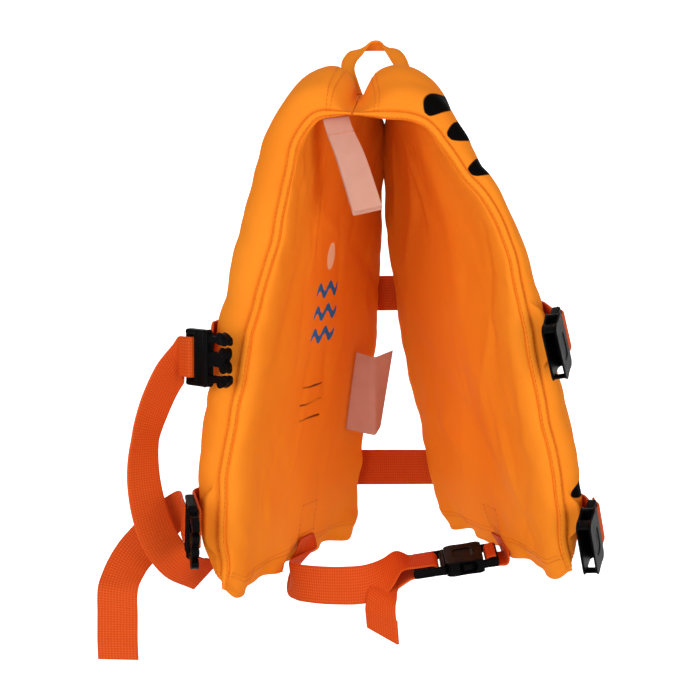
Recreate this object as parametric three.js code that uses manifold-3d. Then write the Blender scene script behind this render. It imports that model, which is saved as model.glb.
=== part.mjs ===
// A child's padded swim vest, hung open by its grab loop.
// Millimetres, +Z up. The origin is the underside of the grab loop's top, where a hook carries the vest.
// The front panel lies on the -X side and the back panel on the +X side, joined at the two shoulders.
// The near side, -Y, is unbuckled and open. Two belts close the far side, +Y.

import * as THREE from "three";
import { mergeVertices } from "three/addons/utils/BufferGeometryUtils.js";
import Module from "manifold-3d";

const wasm = await Module();
wasm.setup();

// Driving dimensions.
const WEBBING_WIDTH = 25;
const WEBBING_THICKNESS = 1.6;
const GAP = 0.4;
const BELT_GAP = 0.7;
const LOOP_WIDTH = 9.5;
const LOOP_THICKNESS = 1.8;
const LABEL_THICKNESS = 0.8;
const NECK_LABEL_WIDTH = 19;
const SIDE_LABEL_HEIGHT = 54;

// Padded panels: the seam round the edge, the round of the padding and the flat ruffled hem.
const SEAM_HALF = 2.75;
const SEAM_PROUD = 1.5;
const PAD_ROUND = 18;
const HEM_HEIGHT = 14;
const HEM_HALF = 1.5;
const HINGE_HALF = 1.2;
const RUFFLE_DEPTH = 2.6;
const RUFFLE_LENGTH = 48;
const RUFFLE_FADE = 30;
const NECK_INNER = 0.42;
const NECK_OUTER = 0.6;
const NECK_CENTRE_ROW = 7.35;
const SEAM_FLAT = 0.75;
const CREASE_ENDS = { from: 0.15, to: 0.85 };

// Working values: small steps, how finely a column is measured, and the highest row a belt reaches.
const STEP = 0.01;
const COLUMN_STEPS = 120;
const LENGTH_TOLERANCE = 1e-6;
const MERGE_TOLERANCE = 1e-4;
const BELT_TOP_ROW = 6;
const CURVE_STEPS = 3;

// Each row is one level of a panel's middle layer, from the hem up over the shoulder to its hinge.
// Both panels share a width, the far lift of the neck side above the arm edge, the outward bow
// between the seams, called crown, and the inner half of the padding.
const SHARED_SECTIONS = [
  { half_width: 121, far_lift: 0, crown: 0, inner: 9 },
  { half_width: 124.5, far_lift: 0, crown: 4, inner: 13 },
  { half_width: 125, far_lift: 0, crown: 6, inner: 13 },
  { half_width: 124, far_lift: 0, crown: 6, inner: 12.5 },
  { half_width: 119, far_lift: 0, crown: 6, inner: 9 },
  { half_width: 107, far_lift: 2, crown: 3, inner: 5.5 },
  { half_width: 104, far_lift: 6, crown: 0, inner: 4.5 },
  { half_width: 104, far_lift: 10, crown: 0, inner: 4 },
  { half_width: 104, far_lift: 12, crown: 0, inner: 3.5 },
  { half_width: 104, far_lift: 12, crown: 0, inner: 3.2 },
];

// Each panel has its own near and far edge seams, near lift and outer half of the padding.
const FRONT_SECTIONS = [
  { near_x: -96.5, near_z: -339, far_x: -21, far_z: -338, near_lift: 0, outer: 14 },
  { near_x: -95, near_z: -300, far_x: -18, far_z: -300, near_lift: 0, outer: 20 },
  { near_x: -90.5, near_z: -245, far_x: -11, far_z: -245, near_lift: 0, outer: 23 },
  { near_x: -78, near_z: -180, far_x: -3.2, far_z: -180, near_lift: 0, outer: 26 },
  { near_x: -61, near_z: -113, far_x: 2, far_z: -113, near_lift: 0, outer: 28 },
  { near_x: -52.5, near_z: -75, far_x: 4.2, far_z: -75, near_lift: 3, outer: 26 },
  { near_x: -47.5, near_z: -55, far_x: 4.6, far_z: -56, near_lift: 9, outer: 23 },
  { near_x: -38, near_z: -42, far_x: 5, far_z: -47, near_lift: 16, outer: 19 },
  { near_x: -26, near_z: -40.5, far_x: 5.2, far_z: -43, near_lift: 16.5, outer: 14 },
  { near_x: -15.1, near_z: -41, far_x: 7.5, far_z: -42, near_lift: 7, outer: 2 },
];
const BACK_SECTIONS = [
  { near_x: 118.5, near_z: -327, far_x: 58, far_z: -330, near_lift: 0, outer: 11 },
  { near_x: 115, near_z: -300, far_x: 50, far_z: -300, near_lift: 0, outer: 17.5 },
  { near_x: 107, near_z: -245, far_x: 38, far_z: -245, near_lift: 0, outer: 20.5 },
  { near_x: 93, near_z: -180, far_x: 24.5, far_z: -180, near_lift: 0, outer: 19 },
  { near_x: 78.5, near_z: -114, far_x: 14.5, far_z: -114, near_lift: 0, outer: 12.5 },
  { near_x: 52, near_z: -75, far_x: 11, far_z: -75, near_lift: 3, outer: 16.5 },
  { near_x: 42, near_z: -60, far_x: 11.4, far_z: -60, near_lift: 9, outer: 16.5 },
  { near_x: 29, near_z: -44.5, far_x: 11.6, far_z: -48, near_lift: 16.5, outer: 15 },
  { near_x: 7, near_z: -42, far_x: 11.2, far_z: -44, near_lift: 20, outer: 14 },
  { near_x: -14.3, near_z: -41, far_x: 8.3, far_z: -42, near_lift: 8, outer: 2 },
];

// Soft creases pressed into a panel's inner face, each a straight valley between two places on it.
const FRONT_CREASES = [
  { across_a: -0.62, height_a: -120, across_b: -0.75, height_b: -190, depth: 2, reach: 9 },
  { across_a: -0.7, height_a: -262, across_b: 0.1, height_b: -312, depth: 2.5, reach: 14 },
];
const BACK_CREASES = [
  { across_a: 0.75, height_a: -190, across_b: -0.82, height_b: -312, depth: 3, reach: 15 },
];

// Grid stations: shares of the half width in from each side edge, and distances in from hem and top.
const SIDE_INSETS = [0, 0.012, 0.045, 0.1, 0.17, 0.25, 0.33, 0.4, 0.46, 0.52, 0.58, 0.68, 0.84, 1];
const EDGE_INSETS = [0, 1.4, 5.5, 12, 20];
const MIDDLE_ROWS = 13;

// Side-release buckle, both halves. Lengths run from the webbing bar's end towards the prongs or mouth.
const BUCKLE_HALF_WIDTH = 17.5;
const BUCKLE_CORNER = 3;
const BAR_HALF = 2.2;
const SLOT_HALF_WIDTH = 13.7;
const MALE_FRAME_LENGTH = 22;
const MALE_SLOTS = [
  { start: 5, end: 9.5 },
  { start: 14, end: 19 },
];
const MALE_FLANGE = { start: 19.3, half_height: 3.5, inset: 1.2 };

// One side of the prongs, from the frame out along an arm, round its head and back to the tongue's tip.
// A row with a via is a curve, and the others are straight lines.
const PRONG_OUTLINE = [
  { to_x: MALE_FRAME_LENGTH, to_y: 14.3, via_x: MALE_FRAME_LENGTH, via_y: BUCKLE_HALF_WIDTH },
  { to_x: 31.6, to_y: 13.4 },
  { to_x: 34.5, to_y: 16.5, via_x: 32.4, via_y: 16.6 },
  { to_x: 42.4, to_y: 12.6, via_x: 38.6, via_y: 16.2 },
  { to_x: 40.5, to_y: 9.4, via_x: 42.8, via_y: 9.6 },
  { to_x: 31, to_y: 10.6, via_x: 34, via_y: 9.6 },
  { to_x: MALE_FRAME_LENGTH, to_y: 10.4 },
  { to_x: MALE_FRAME_LENGTH, to_y: 4.2 },
  { to_x: 34, to_y: 3.4 },
  { to_x: 38, to_y: 7.5, via_x: 34.6, via_y: 7.4 },
  { to_x: 41.6, to_y: 4, via_x: 42, via_y: 7.4 },
  { to_x: 38.6, to_y: 0, via_x: 41, via_y: 1.6 },
];
const FEMALE_LENGTH = 34;
const FEMALE_SLOT = { start: 5.5, end: 10.5 };
const FEMALE_BODY_START = 10.7;
const FEMALE_BODY_HALF = 4.6;
const FEMALE_BEVEL = 0.9;
const FEMALE_FRAME_HALF_WIDTH = BUCKLE_HALF_WIDTH - 1;

// One side of the socket's sleeve, from its webbing end to its mouth.
const SLEEVE_SHOULDER = FEMALE_BODY_START + 4;
const SLEEVE_WAIST = { x: 22, y: BUCKLE_HALF_WIDTH - 1.2 };
const SLEEVE_OUTLINE = [
  { to_x: FEMALE_BODY_START, to_y: BUCKLE_HALF_WIDTH - 2 },
  { to_x: SLEEVE_SHOULDER, to_y: BUCKLE_HALF_WIDTH, via_x: FEMALE_BODY_START + 1, via_y: BUCKLE_HALF_WIDTH },
  { to_x: FEMALE_LENGTH - 3, to_y: BUCKLE_HALF_WIDTH, via_x: SLEEVE_WAIST.x, via_y: SLEEVE_WAIST.y },
  { to_x: FEMALE_LENGTH, to_y: BUCKLE_HALF_WIDTH - 0.6 },
  { to_x: FEMALE_LENGTH, to_y: 0 },
];
const SOCKET = { start: 12.4, half_width: 15, half_height: 2.9 };
const SIDE_WINDOW = { start: 16, end: 28 };

// Where each buckle's bar end sits, which way its prongs or mouth point, and its width's direction.
const BUCKLES = {
  upper_male: { x: -115, y: -112, z: -189, along: [0.64, -0.77, 0], across: [0, 0, 1] },
  lower_male: { x: -114.5, y: -124, z: -288, along: [0.16, -0.95, -0.25], across: [0, 0, 1] },
  upper_female: { x: 112.5, y: -121, z: -172, along: [-0.2, -0.9, -0.38], across: [-0.15, 0, 0.98] },
  lower_female: { x: 134.5, y: -121, z: -289.5, along: [-0.24, -0.88, -0.4], across: [-0.08, 0, 0.98] },
  crotch_male: { x: 25, y: -20, z: -336.6, along: [0.988, 0, 0.156], across: [0, 0.985, 0.17] },
};

// Webbing through the buckles: along is the length in the buckle, out the distance from its mid plane.
const WEBBING_OUT = BAR_HALF + GAP + WEBBING_THICKNESS / 2;

// A belt goes under a prong half, up through its first slot and out over the end bar.
const MALE_ROUTE = [
  { along: 16.5, out: -5.2 },
  { along: 13, out: -4.4 },
  { along: 10.4, out: -4 },
  { along: 8.6, out: -3.4 },
  { along: 7.4, out: -1.6 },
  { along: 7.2, out: 0.4 },
  { along: 6.8, out: 2.2 },
  { along: 5.6, out: 3.3 },
  { along: 3.6, out: WEBBING_OUT },
  { along: 0, out: WEBBING_OUT },
  { along: -4.5, out: WEBBING_OUT + 0.2 },
];

// The crotch webbing goes over both bars, down through the last slot and back under them.
const CROTCH_MALE_ROUTE = [
  { along: -2, out: WEBBING_OUT + 0.4 },
  { along: 2, out: WEBBING_OUT },
  { along: 11.5, out: WEBBING_OUT },
  { along: 14.6, out: 3.1 },
  { along: 16.5, out: 1.2 },
  { along: 16.5, out: -1.2 },
  { along: 14.6, out: -3.1 },
  { along: 11.5, out: -WEBBING_OUT },
  { along: 2, out: -WEBBING_OUT },
  { along: -2, out: -WEBBING_OUT - 0.3 },
];

// Webbing goes round a socket half's bar, and its sewn end lies back against the belt.
const FEMALE_ROUTE = [
  { along: -7.6, out: 1 },
  { along: -5.2, out: 0.4 },
  { along: -2.6, out: -1.3 },
  { along: -0.8, out: -3.1 },
  { along: 1.5, out: -WEBBING_OUT },
  { along: 5, out: -WEBBING_OUT },
  { along: 7.6, out: -2.7 },
  { along: 8.2, out: 0 },
  { along: 7.6, out: 2.7 },
  { along: 5, out: WEBBING_OUT },
  { along: 0, out: WEBBING_OUT },
  { along: -5, out: WEBBING_OUT + 0.2 },
];
const FEMALE_BAR_ROUTE = FEMALE_ROUTE.slice(4, -1);
const CROTCH_PAIR_LENGTH = MALE_FRAME_LENGTH + GAP + FEMALE_LENGTH;

// The belts' heights along each panel, and where they leave the panels for their buckles.
const UPPER_BELT = { far: -167, front_near: -186, back_near: -172, front_leave: -0.91, back_leave: -0.85 };
const LOWER_BELT = { far: -292, front_near: -286, back_near: -291, front_leave: -0.91, back_leave: -0.85 };
const BELT_SLOPE = { from: -0.9, to: 0.6 };

// Free webbing, as places of its middle line and the direction of its width there.
const UPPER_TAIL = [
  { x: -121, y: -107, z: -193, across: [-0.25, -0.25, 0.93] },
  { x: -128, y: -108, z: -203, across: [-0.5, -0.5, 0.7] },
  { x: -136, y: -112, z: -220.5, across: [-0.6, -0.65, 0.46] },
  { x: -141.5, y: -116, z: -240, across: [-0.6, -0.78, 0.1] },
  { x: -142.5, y: -120, z: -259.5, across: [-0.72, -0.68, 0] },
  { x: -139.5, y: -122, z: -280, across: [-0.8, -0.58, -0.14] },
  { x: -132.5, y: -123, z: -300.5, across: [-0.84, -0.46, -0.25] },
  { x: -121.5, y: -112, z: -318, across: [-0.78, -0.42, -0.42] },
  { x: -106.5, y: -87, z: -329.5, across: [-0.62, -0.46, -0.62] },
];
const LOWER_TAIL = [
  { x: -120.5, y: -107, z: -285, across: [-0.1, -0.05, 0.98] },
  { x: -126, y: -100, z: -289, across: [-0.25, -0.1, 0.95] },
  { x: -133.5, y: -99, z: -295.5, across: [-0.4, 0, 0.9] },
  { x: -143, y: -102, z: -305.5, across: [-0.6, 0.1, 0.8] },
  { x: -151.5, y: -106, z: -315.5, across: [-0.8, 0.25, 0.55] },
  { x: -157.5, y: -114, z: -327, across: [-0.96, 0.2, 0.2] },
  { x: -159, y: -118, z: -333.5, across: [-0.99, 0.05, 0.14] },
  { x: -159, y: -119.5, z: -348, across: [-1, 0, 0.05] },
  { x: -159, y: -121, z: -364, across: [-1, 0, 0] },
  { x: -158.5, y: -122, z: -375.5, across: [-1, 0, 0.02] },
];
const CROTCH_FRONT_LEAD = [
  { x: -46.5, y: 8, z: -333.5, across: [0.66, 0.7, 0.25] },
  { x: -53.5, y: -8, z: -343, across: [0.3, 0.35, 0.88] },
  { x: -54, y: -20, z: -345.5, across: [-0.15, 0, 0.98] },
  { x: -44, y: -29, z: -346, across: [-0.1, 0, 1] },
  { x: -24, y: -33, z: -346.5, across: [0, 0, 1] },
  { x: -5, y: -34, z: -345, across: [-0.05, 0.25, 0.97] },
  { x: 7, y: -31, z: -340, across: [-0.2, 0.65, 0.73] },
  { x: 16, y: -25, z: -332, across: [-0.12, 0.92, 0.38] },
];
const CROTCH_FRONT_TAIL = [
  { x: 17, y: -25, z: -343.5, across: [0.15, 0.93, 0.34] },
  { x: 10, y: -34, z: -347.5, across: [-0.35, 0.8, 0.5] },
  { x: 5, y: -42, z: -353, across: [-0.68, 0.55, 0.48] },
  { x: 4, y: -45, z: -363, across: [-0.8, 0.5, 0.3] },
  { x: 5, y: -46, z: -377, across: [-0.8, 0.48, 0.36] },
];
const CROTCH_BACK_LEAD = [
  { x: 84.6, y: -11, z: -323.5, across: [-0.24, 0.96, 0.1] },
  { x: 85.6, y: -17, z: -331, across: [-0.1, 0.98, 0.17] },
];
const GRAB_LOOP = [
  { x: -12, y: -54, z: -29.5, across: [0.8, -0.55, 0.2] },
  { x: -15, y: -45, z: -21, across: [0.85, -0.5, 0.15] },
  { x: -17.3, y: -28, z: -10, across: [0.92, -0.3, -0.25] },
  { x: -12.5, y: -12, z: -2, across: [0.6, -0.15, -0.75] },
  { x: -4, y: -2, z: 3.9, across: [0.2, -0.35, -0.9] },
  { x: 4, y: -2, z: 4.1, across: [-0.1, -0.6, -0.8] },
  { x: 10, y: -14, z: 0.5, across: [-0.65, -0.35, -0.7] },
  { x: 15, y: -30, z: -6, across: [-0.9, 0.1, -0.45] },
  { x: 17.5, y: -43, z: -12.5, across: [-0.9, 0.35, -0.25] },
  { x: 18, y: -48, z: -15.5, across: [-0.9, 0.38, -0.25] },
];
const NECK_LABEL = [
  { x: -22, y: -92.5, z: -52, across: [0.82, 0.55, 0.15] },
  { x: -16, y: -89, z: -66, across: [0.9, 0.4, 0.1] },
  { x: -5, y: -82, z: -100, across: [0.95, 0.25, 0.2] },
];
const CROTCH_FRONT_SEWN = { across: 0.16, height: -322, width: [0.3, 0.95, 0] };
const CROTCH_BACK_SEWN = { across: -0.04, height: -317, width: [-0.24, 0.97, 0] };
const NECK_LABEL_AT = { across: -0.9, row: 7.95, width: [0.82, 0.56, 0.1] };
const SIDE_LABEL_AT = { across: 0.6, height: -228 };
const SIDE_LABEL_FOLDS = [
  { x: -2, y: 66, z: -233, across: [0, 0, 1] },
  { x: 1.5, y: 66, z: -233.5, across: [0, 0, 1] },
  { x: 9.3, y: 74, z: -229, across: [0.16, 0, 1] },
];

// Materials.
const orangeCloth = new THREE.MeshStandardMaterial({ color: "#f28a20", roughness: 0.75, metalness: 0 });
const orangeWebbing = new THREE.MeshStandardMaterial({ color: "#d9511c", roughness: 0.85, metalness: 0 });
const blackPlastic = new THREE.MeshStandardMaterial({ color: "#17171a", roughness: 0.4, metalness: 0 });
const labelCloth = new THREE.MeshStandardMaterial({ color: "#f2efe8", roughness: 0.7, metalness: 0 });

function smooth(from, to, value) {
  return THREE.MathUtils.smoothstep((value - from) / (to - from), 0, 1);
}

// A table column's value at a fractional row, on a curve through the rows.
function columnAt(sections, key, row) {
  const last = sections.length - 1;
  const low = Math.min(Math.floor(row), last - 1);
  const at = (index) => sections[THREE.MathUtils.clamp(index, 0, last)][key];
  const share = row - low;
  const slopeLow = (at(low + 1) - at(low - 1)) / 2;
  const slopeHigh = (at(low + 2) - at(low)) / 2;
  const square = share * share;
  const cube = square * share;
  return (
    (2 * cube - 3 * square + 1) * at(low) +
    (cube - 2 * square + share) * slopeLow +
    (3 * square - 2 * cube) * at(low + 1) +
    (cube - square) * slopeHigh
  );
}

// The quarter round of the padding, 0 at a seam and 1 where the padding is full.
function roundOff(distance) {
  const inset = 1 - THREE.MathUtils.clamp(distance / PAD_ROUND, 0, 1);
  return Math.sqrt(1 - inset * inset);
}

// One padded panel. outward is -1 for the front and 1 for the back.
class Panel {
  constructor(sections, creases, outward) {
    this.sections = SHARED_SECTIONS.map((shared, row) => ({ ...shared, ...sections[row] }));
    this.halfWidest = Math.max(...SHARED_SECTIONS.map((shared) => shared.half_width));
    this.creases = creases;
    this.outward = outward;
    this.lastRow = sections.length - 1;
  }

  // A point of the middle layer; across runs from -1 at the near seam to 1 at the far seam.
  middle(across, row) {
    const value = (key) => columnAt(this.sections, key, row);
    const share = (across + 1) / 2;
    const bow = this.outward * value("crown") * (1 - across * across);
    const lift = THREE.MathUtils.lerp(value("near_lift"), value("far_lift"), share);
    const neckSide = smooth(1, NECK_OUTER, Math.abs(across));
    return new THREE.Vector3(
      THREE.MathUtils.lerp(value("near_x"), value("far_x"), share) + bow,
      across * value("half_width"),
      THREE.MathUtils.lerp(value("near_z"), value("far_z"), share) + lift * neckSide,
    );
  }

  // The top of the panel: the shoulder hinge on both sides, and the lower neck edge between them.
  topRow(across) {
    const side = smooth(NECK_INNER, NECK_OUTER, Math.abs(across));
    return THREE.MathUtils.lerp(NECK_CENTRE_ROW, this.lastRow, side);
  }

  normal(across, row) {
    const a = THREE.MathUtils.clamp(across, -1 + STEP, 1 - STEP);
    const r = THREE.MathUtils.clamp(row, STEP, this.lastRow - STEP);
    const along = this.middle(a + STEP, r).sub(this.middle(a - STEP, r));
    const up = this.middle(a, r + STEP).sub(this.middle(a, r - STEP));
    return along.cross(up).normalize().multiplyScalar(this.outward);
  }

  // Lengths up one column of the panel, and the row at a given length.
  column(across) {
    const top = this.topRow(across);
    const rows = [];
    const lengths = [0];
    for (let i = 0; i <= COLUMN_STEPS; i++) {
      rows.push((top * i) / COLUMN_STEPS);
      if (i > 0) {
        const step = this.middle(across, rows[i]).distanceTo(this.middle(across, rows[i - 1]));
        lengths.push(lengths[i - 1] + step);
      }
    }
    const rowAt = (length) => {
      const next = Math.max(1, lengths.findIndex((value) => value >= length - LENGTH_TOLERANCE));
      const share = (length - lengths[next - 1]) / (lengths[next] - lengths[next - 1]);
      return THREE.MathUtils.lerp(rows[next - 1], rows[next], share);
    };
    const lengthAt = (row) => {
      const place = (row / top) * COLUMN_STEPS;
      const low = Math.min(Math.floor(place), COLUMN_STEPS - 1);
      return THREE.MathUtils.lerp(lengths[low], lengths[low + 1], place - low);
    };
    return { total: lengths[COLUMN_STEPS], rowAt, lengthAt };
  }

  // How far the creases press in at a place on the inner face.
  creaseDepth(across, height) {
    const place = new THREE.Vector2(across * this.halfWidest, height);
    let depth = 0;
    for (const crease of this.creases) {
      const a = new THREE.Vector2(crease.across_a * this.halfWidest, crease.height_a);
      const b = new THREE.Vector2(crease.across_b * this.halfWidest, crease.height_b);
      const run = b.clone().sub(a);
      const share = THREE.MathUtils.clamp(place.clone().sub(a).dot(run) / run.lengthSq(), 0, 1);
      const away = place.distanceTo(a.addScaledVector(run, share)) / crease.reach;
      const fade = Math.sin(Math.PI * THREE.MathUtils.lerp(CREASE_ENDS.from, CREASE_ENDS.to, share));
      depth += crease.depth * fade * Math.exp(-away * away);
    }
    return depth;
  }

  // The ruffle of the hem, which fades out above it.
  ruffle(across, length) {
    const wave = Math.sin((2 * Math.PI * across * this.sections[0].half_width) / RUFFLE_LENGTH);
    return RUFFLE_DEPTH * wave * (1 - smooth(0, RUFFLE_FADE, length));
  }

  // Middle, outer and inner points at a length up a column, and the way out of the padding.
  layers(across, length, column) {
    const row = column.rowAt(length);
    const normal = this.normal(across, row);
    const fromTop = column.total - length;
    const shoulder = smooth(NECK_INNER, NECK_OUTER, Math.abs(across));
    const hinge = shoulder > 1 - STEP && fromTop < STEP;
    if (hinge) {
      normal.set(0, 0, 1);
    }
    const middle = this.middle(across, row).addScaledVector(normal, this.ruffle(across, length));
    const inSide = (1 - Math.abs(across)) * columnAt(this.sections, "half_width", row);
    const full = roundOff(inSide) * roundOff(length - HEM_HEIGHT) * roundOff(fromTop);
    const taper = shoulder * (1 - smooth(0, PAD_ROUND, fromTop));
    const seam = THREE.MathUtils.lerp(SEAM_HALF, HINGE_HALF, taper);
    const edge = length < HEM_HEIGHT + STEP ? HEM_HALF : seam;
    const outer = THREE.MathUtils.lerp(edge, columnAt(this.sections, "outer", row), full);
    const inner = THREE.MathUtils.lerp(edge, columnAt(this.sections, "inner", row), full);
    const pressed = this.creaseDepth(across, middle.z) * full;
    return {
      normal,
      middle,
      hinge,
      outer: middle.clone().addScaledVector(normal, outer),
      inner: middle.clone().addScaledVector(normal, pressed - inner),
    };
  }

  // A place on a face at a given height, with the upward direction along the face there.
  onFace(face, across, height) {
    const column = this.column(across);
    let low = 0;
    let high = column.lengthAt(Math.min(BELT_TOP_ROW, this.topRow(across)));
    while (high - low > STEP) {
      const middle = (low + high) / 2;
      if (this.layers(across, middle, column).middle.z < height) {
        low = middle;
      } else {
        high = middle;
      }
    }
    const reach = WEBBING_WIDTH / 2;
    const at = this.layers(across, low, column)[face];
    const above = this.layers(across, low + reach, column)[face];
    const below = this.layers(across, Math.max(low - reach, 0), column)[face];
    const up = above.sub(below).normalize();
    const beside = [-STEP, STEP].map((step) => {
      const nearby = THREE.MathUtils.clamp(across + step, -1, 1);
      return this.layers(nearby, low, this.column(nearby))[face];
    });
    const out = beside[1].sub(beside[0]).cross(up).normalize();
    return { at, out: out.multiplyScalar(face === "outer" ? this.outward : -this.outward), up };
  }

  stations() {
    const near = SIDE_INSETS.map((inset) => inset - 1);
    return [...near, ...near.slice(0, -1).reverse().map((across) => -across)];
  }

  // The closed skin: outer sheet, inner sheet and the proud seam band that joins them.
  geometry() {
    const grid = this.stations().map((across) => {
      const column = this.column(across);
      const lower = EDGE_INSETS.map((inset) => (inset === 0 ? 0 : HEM_HEIGHT + inset));
      lower.splice(1, 0, HEM_HEIGHT);
      const upper = EDGE_INSETS.map((inset) => column.total - inset).reverse();
      const start = lower[lower.length - 1];
      const rise = (upper[0] - start) / (MIDDLE_ROWS + 1);
      const between = Array.from({ length: MIDDLE_ROWS }, (_, i) => start + rise * (i + 1));
      return [...lower, ...between, ...upper].map((length) => this.layers(across, length, column));
    });
    const columns = grid.length;
    const rows = grid[0].length;
    const points = [];
    const triangles = [];
    const add = (point) => points.push(point.x, point.y, point.z) / 3 - 1;
    const quad = (a, b, c, d) => {
      const corners = this.outward > 0 ? [a, b, c, a, c, d] : [a, c, b, a, d, c];
      triangles.push(...corners);
    };
    const outer = grid.map((column) => column.map((layer) => add(layer.outer)));
    const inner = grid.map((column) => column.map((layer) => add(layer.inner)));
    for (let i = 0; i + 1 < columns; i++) {
      for (let j = 0; j + 1 < rows; j++) {
        quad(outer[i][j], outer[i + 1][j], outer[i + 1][j + 1], outer[i][j + 1]);
        quad(inner[i][j], inner[i][j + 1], inner[i + 1][j + 1], inner[i + 1][j]);
      }
    }
    const bands = rimOf(columns, rows).map(([i, j]) => {
      const layer = grid[i][j];
      const inward = grid[THREE.MathUtils.clamp(i, 1, columns - 2)][THREE.MathUtils.clamp(j, 1, rows - 2)];
      const proud = layer.hinge || j === 0 ? 0 : SEAM_PROUD;
      const way = layer.middle.clone().sub(inward.middle).normalize().multiplyScalar(proud);
      const bandPoint = (from) => add(layer.middle.clone().lerp(from, SEAM_FLAT).add(way));
      return [outer[i][j], bandPoint(layer.outer), bandPoint(layer.inner), inner[i][j]];
    });
    bands.forEach((band, index) => {
      const next = bands[(index + 1) % bands.length];
      for (let k = 0; k < 3; k++) {
        quad(band[k], band[k + 1], next[k + 1], next[k]);
      }
    });
    return indexedGeometry(points, triangles);
  }
}

// The places round the edge of a grid, once round from its first corner.
function rimOf(columns, rows) {
  const right = columns - 1;
  const top = rows - 1;
  return [
    ...Array.from({ length: columns }, (_, i) => [i, 0]),
    ...Array.from({ length: top }, (_, j) => [right, j + 1]),
    ...Array.from({ length: right }, (_, i) => [right - 1 - i, top]),
    ...Array.from({ length: top - 1 }, (_, j) => [0, top - 1 - j]),
  ];
}

function indexedGeometry(points, triangles) {
  const geometry = new THREE.BufferGeometry();
  geometry.setAttribute("position", new THREE.Float32BufferAttribute(points, 3));
  geometry.setIndex(triangles);
  geometry.computeVertexNormals();
  return geometry;
}

// A flat strip swept along its stations, each a place and the direction of the strip's width.
function strip(stations, width, thickness) {
  const points = [];
  const triangles = [];
  const last = stations.length - 1;
  stations.forEach((station, index) => {
    const before = stations[Math.max(index - 1, 0)].at;
    const after = stations[Math.min(index + 1, last)].at;
    const tangent = after.clone().sub(before).normalize();
    const side = station.across.clone().normalize();
    const face = tangent.cross(side).normalize();
    for (const [wide, thick] of [[1, 1], [-1, 1], [-1, -1], [1, -1]]) {
      const corner = station.at.clone();
      corner.addScaledVector(side, (wide * width) / 2).addScaledVector(face, (thick * thickness) / 2);
      points.push(corner.x, corner.y, corner.z);
    }
  });
  for (let i = 0; i < last; i++) {
    for (let k = 0; k < 4; k++) {
      const a = 4 * i + k;
      const b = 4 * i + ((k + 1) % 4);
      triangles.push(a, b + 4, a + 4, a, b, b + 4);
    }
  }
  const end = 4 * last;
  triangles.push(0, 2, 1, 0, 3, 2, end, end + 1, end + 2, end, end + 2, end + 3);
  return indexedGeometry(points, triangles);
}

function station(place) {
  return {
    at: new THREE.Vector3(place.x, place.y, place.z),
    across: new THREE.Vector3(...place.across).normalize(),
  };
}

// Stations on a smooth curve through a few given ones, with extra ones between them.
function smoothed(stations, between) {
  const curve = new THREE.CatmullRomCurve3(stations.map((given) => given.at), false, "centripetal");
  const spans = stations.length - 1;
  const result = [];
  for (let i = 0; i <= spans * between; i++) {
    const low = Math.min(Math.floor(i / between), spans - 1);
    const across = stations[low].across.clone().lerp(stations[low + 1].across, i / between - low);
    result.push({ at: curve.getPoint(i / (spans * between)), across: across.normalize() });
  }
  return result;
}

// A buckle's own frame: x along its length, y along its width, z out of its upper face.
function buckleFrame({ x, y, z, along, across }) {
  const length = new THREE.Vector3(...along).normalize();
  const width = new THREE.Vector3(...across);
  width.addScaledVector(length, -width.dot(length)).normalize();
  const face = length.clone().cross(width);
  return new THREE.Matrix4().makeBasis(length, width, face).setPosition(x, y, z);
}

// Webbing stations from places in a buckle's own frame.
function threaded(frame, route) {
  const width = new THREE.Vector3().setFromMatrixColumn(frame, 1);
  return route.map(({ along, out }) => ({
    at: new THREE.Vector3(along, 0, out).applyMatrix4(frame),
    across: width.clone(),
  }));
}

function solidOf(geometry) {
  const bare = geometry.clone();
  bare.deleteAttribute("normal");
  bare.deleteAttribute("uv");
  const merged = mergeVertices(bare, MERGE_TOLERANCE);
  return new wasm.Manifold(
    new wasm.Mesh({
      numProp: 3,
      vertProperties: new Float32Array(merged.attributes.position.array),
      triVerts: new Uint32Array(merged.index.array),
    }),
  );
}

function geometryOf(solid) {
  const mesh = solid.getMesh();
  return indexedGeometry(Array.from(mesh.vertProperties), Array.from(mesh.triVerts));
}

// A flat plate of an outline, centred on its own mid plane.
function plate(shape, halfHeight, bevel = 0) {
  const geometry = new THREE.ExtrudeGeometry(shape, {
    depth: 2 * (halfHeight - bevel),
    bevelEnabled: bevel > 0,
    bevelThickness: bevel,
    bevelSize: bevel,
    bevelOffset: -bevel,
    bevelSegments: 1,
    curveSegments: CURVE_STEPS,
  });
  return geometry.translate(0, 0, bevel - halfHeight);
}

function box(startX, endX, halfWidth, halfHeight) {
  const geometry = new THREE.BoxGeometry(endX - startX, 2 * halfWidth, 2 * halfHeight);
  return geometry.translate((startX + endX) / 2, 0, 0);
}

// A whole outline from its upper half, which starts and ends on the middle line.
function mirroredShape(half) {
  const upper = half.getPoints(CURVE_STEPS);
  const lower = upper.slice(1, -1).reverse().map((point) => new THREE.Vector2(point.x, -point.y));
  return new THREE.Shape([...upper, ...lower]);
}

// The start of half an outline: its webbing end, with a rounded corner.
function roundedEnd(halfWidth) {
  const half = new THREE.Path();
  half.moveTo(0, 0);
  half.lineTo(0, halfWidth - BUCKLE_CORNER);
  half.quadraticCurveTo(0, halfWidth, BUCKLE_CORNER, halfWidth);
  return half;
}

function follow(half, outline) {
  for (const { to_x, to_y, via_x, via_y } of outline) {
    if (via_x === undefined) {
      half.lineTo(to_x, to_y);
    } else {
      half.quadraticCurveTo(via_x, via_y, to_x, to_y);
    }
  }
  return half;
}

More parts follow.
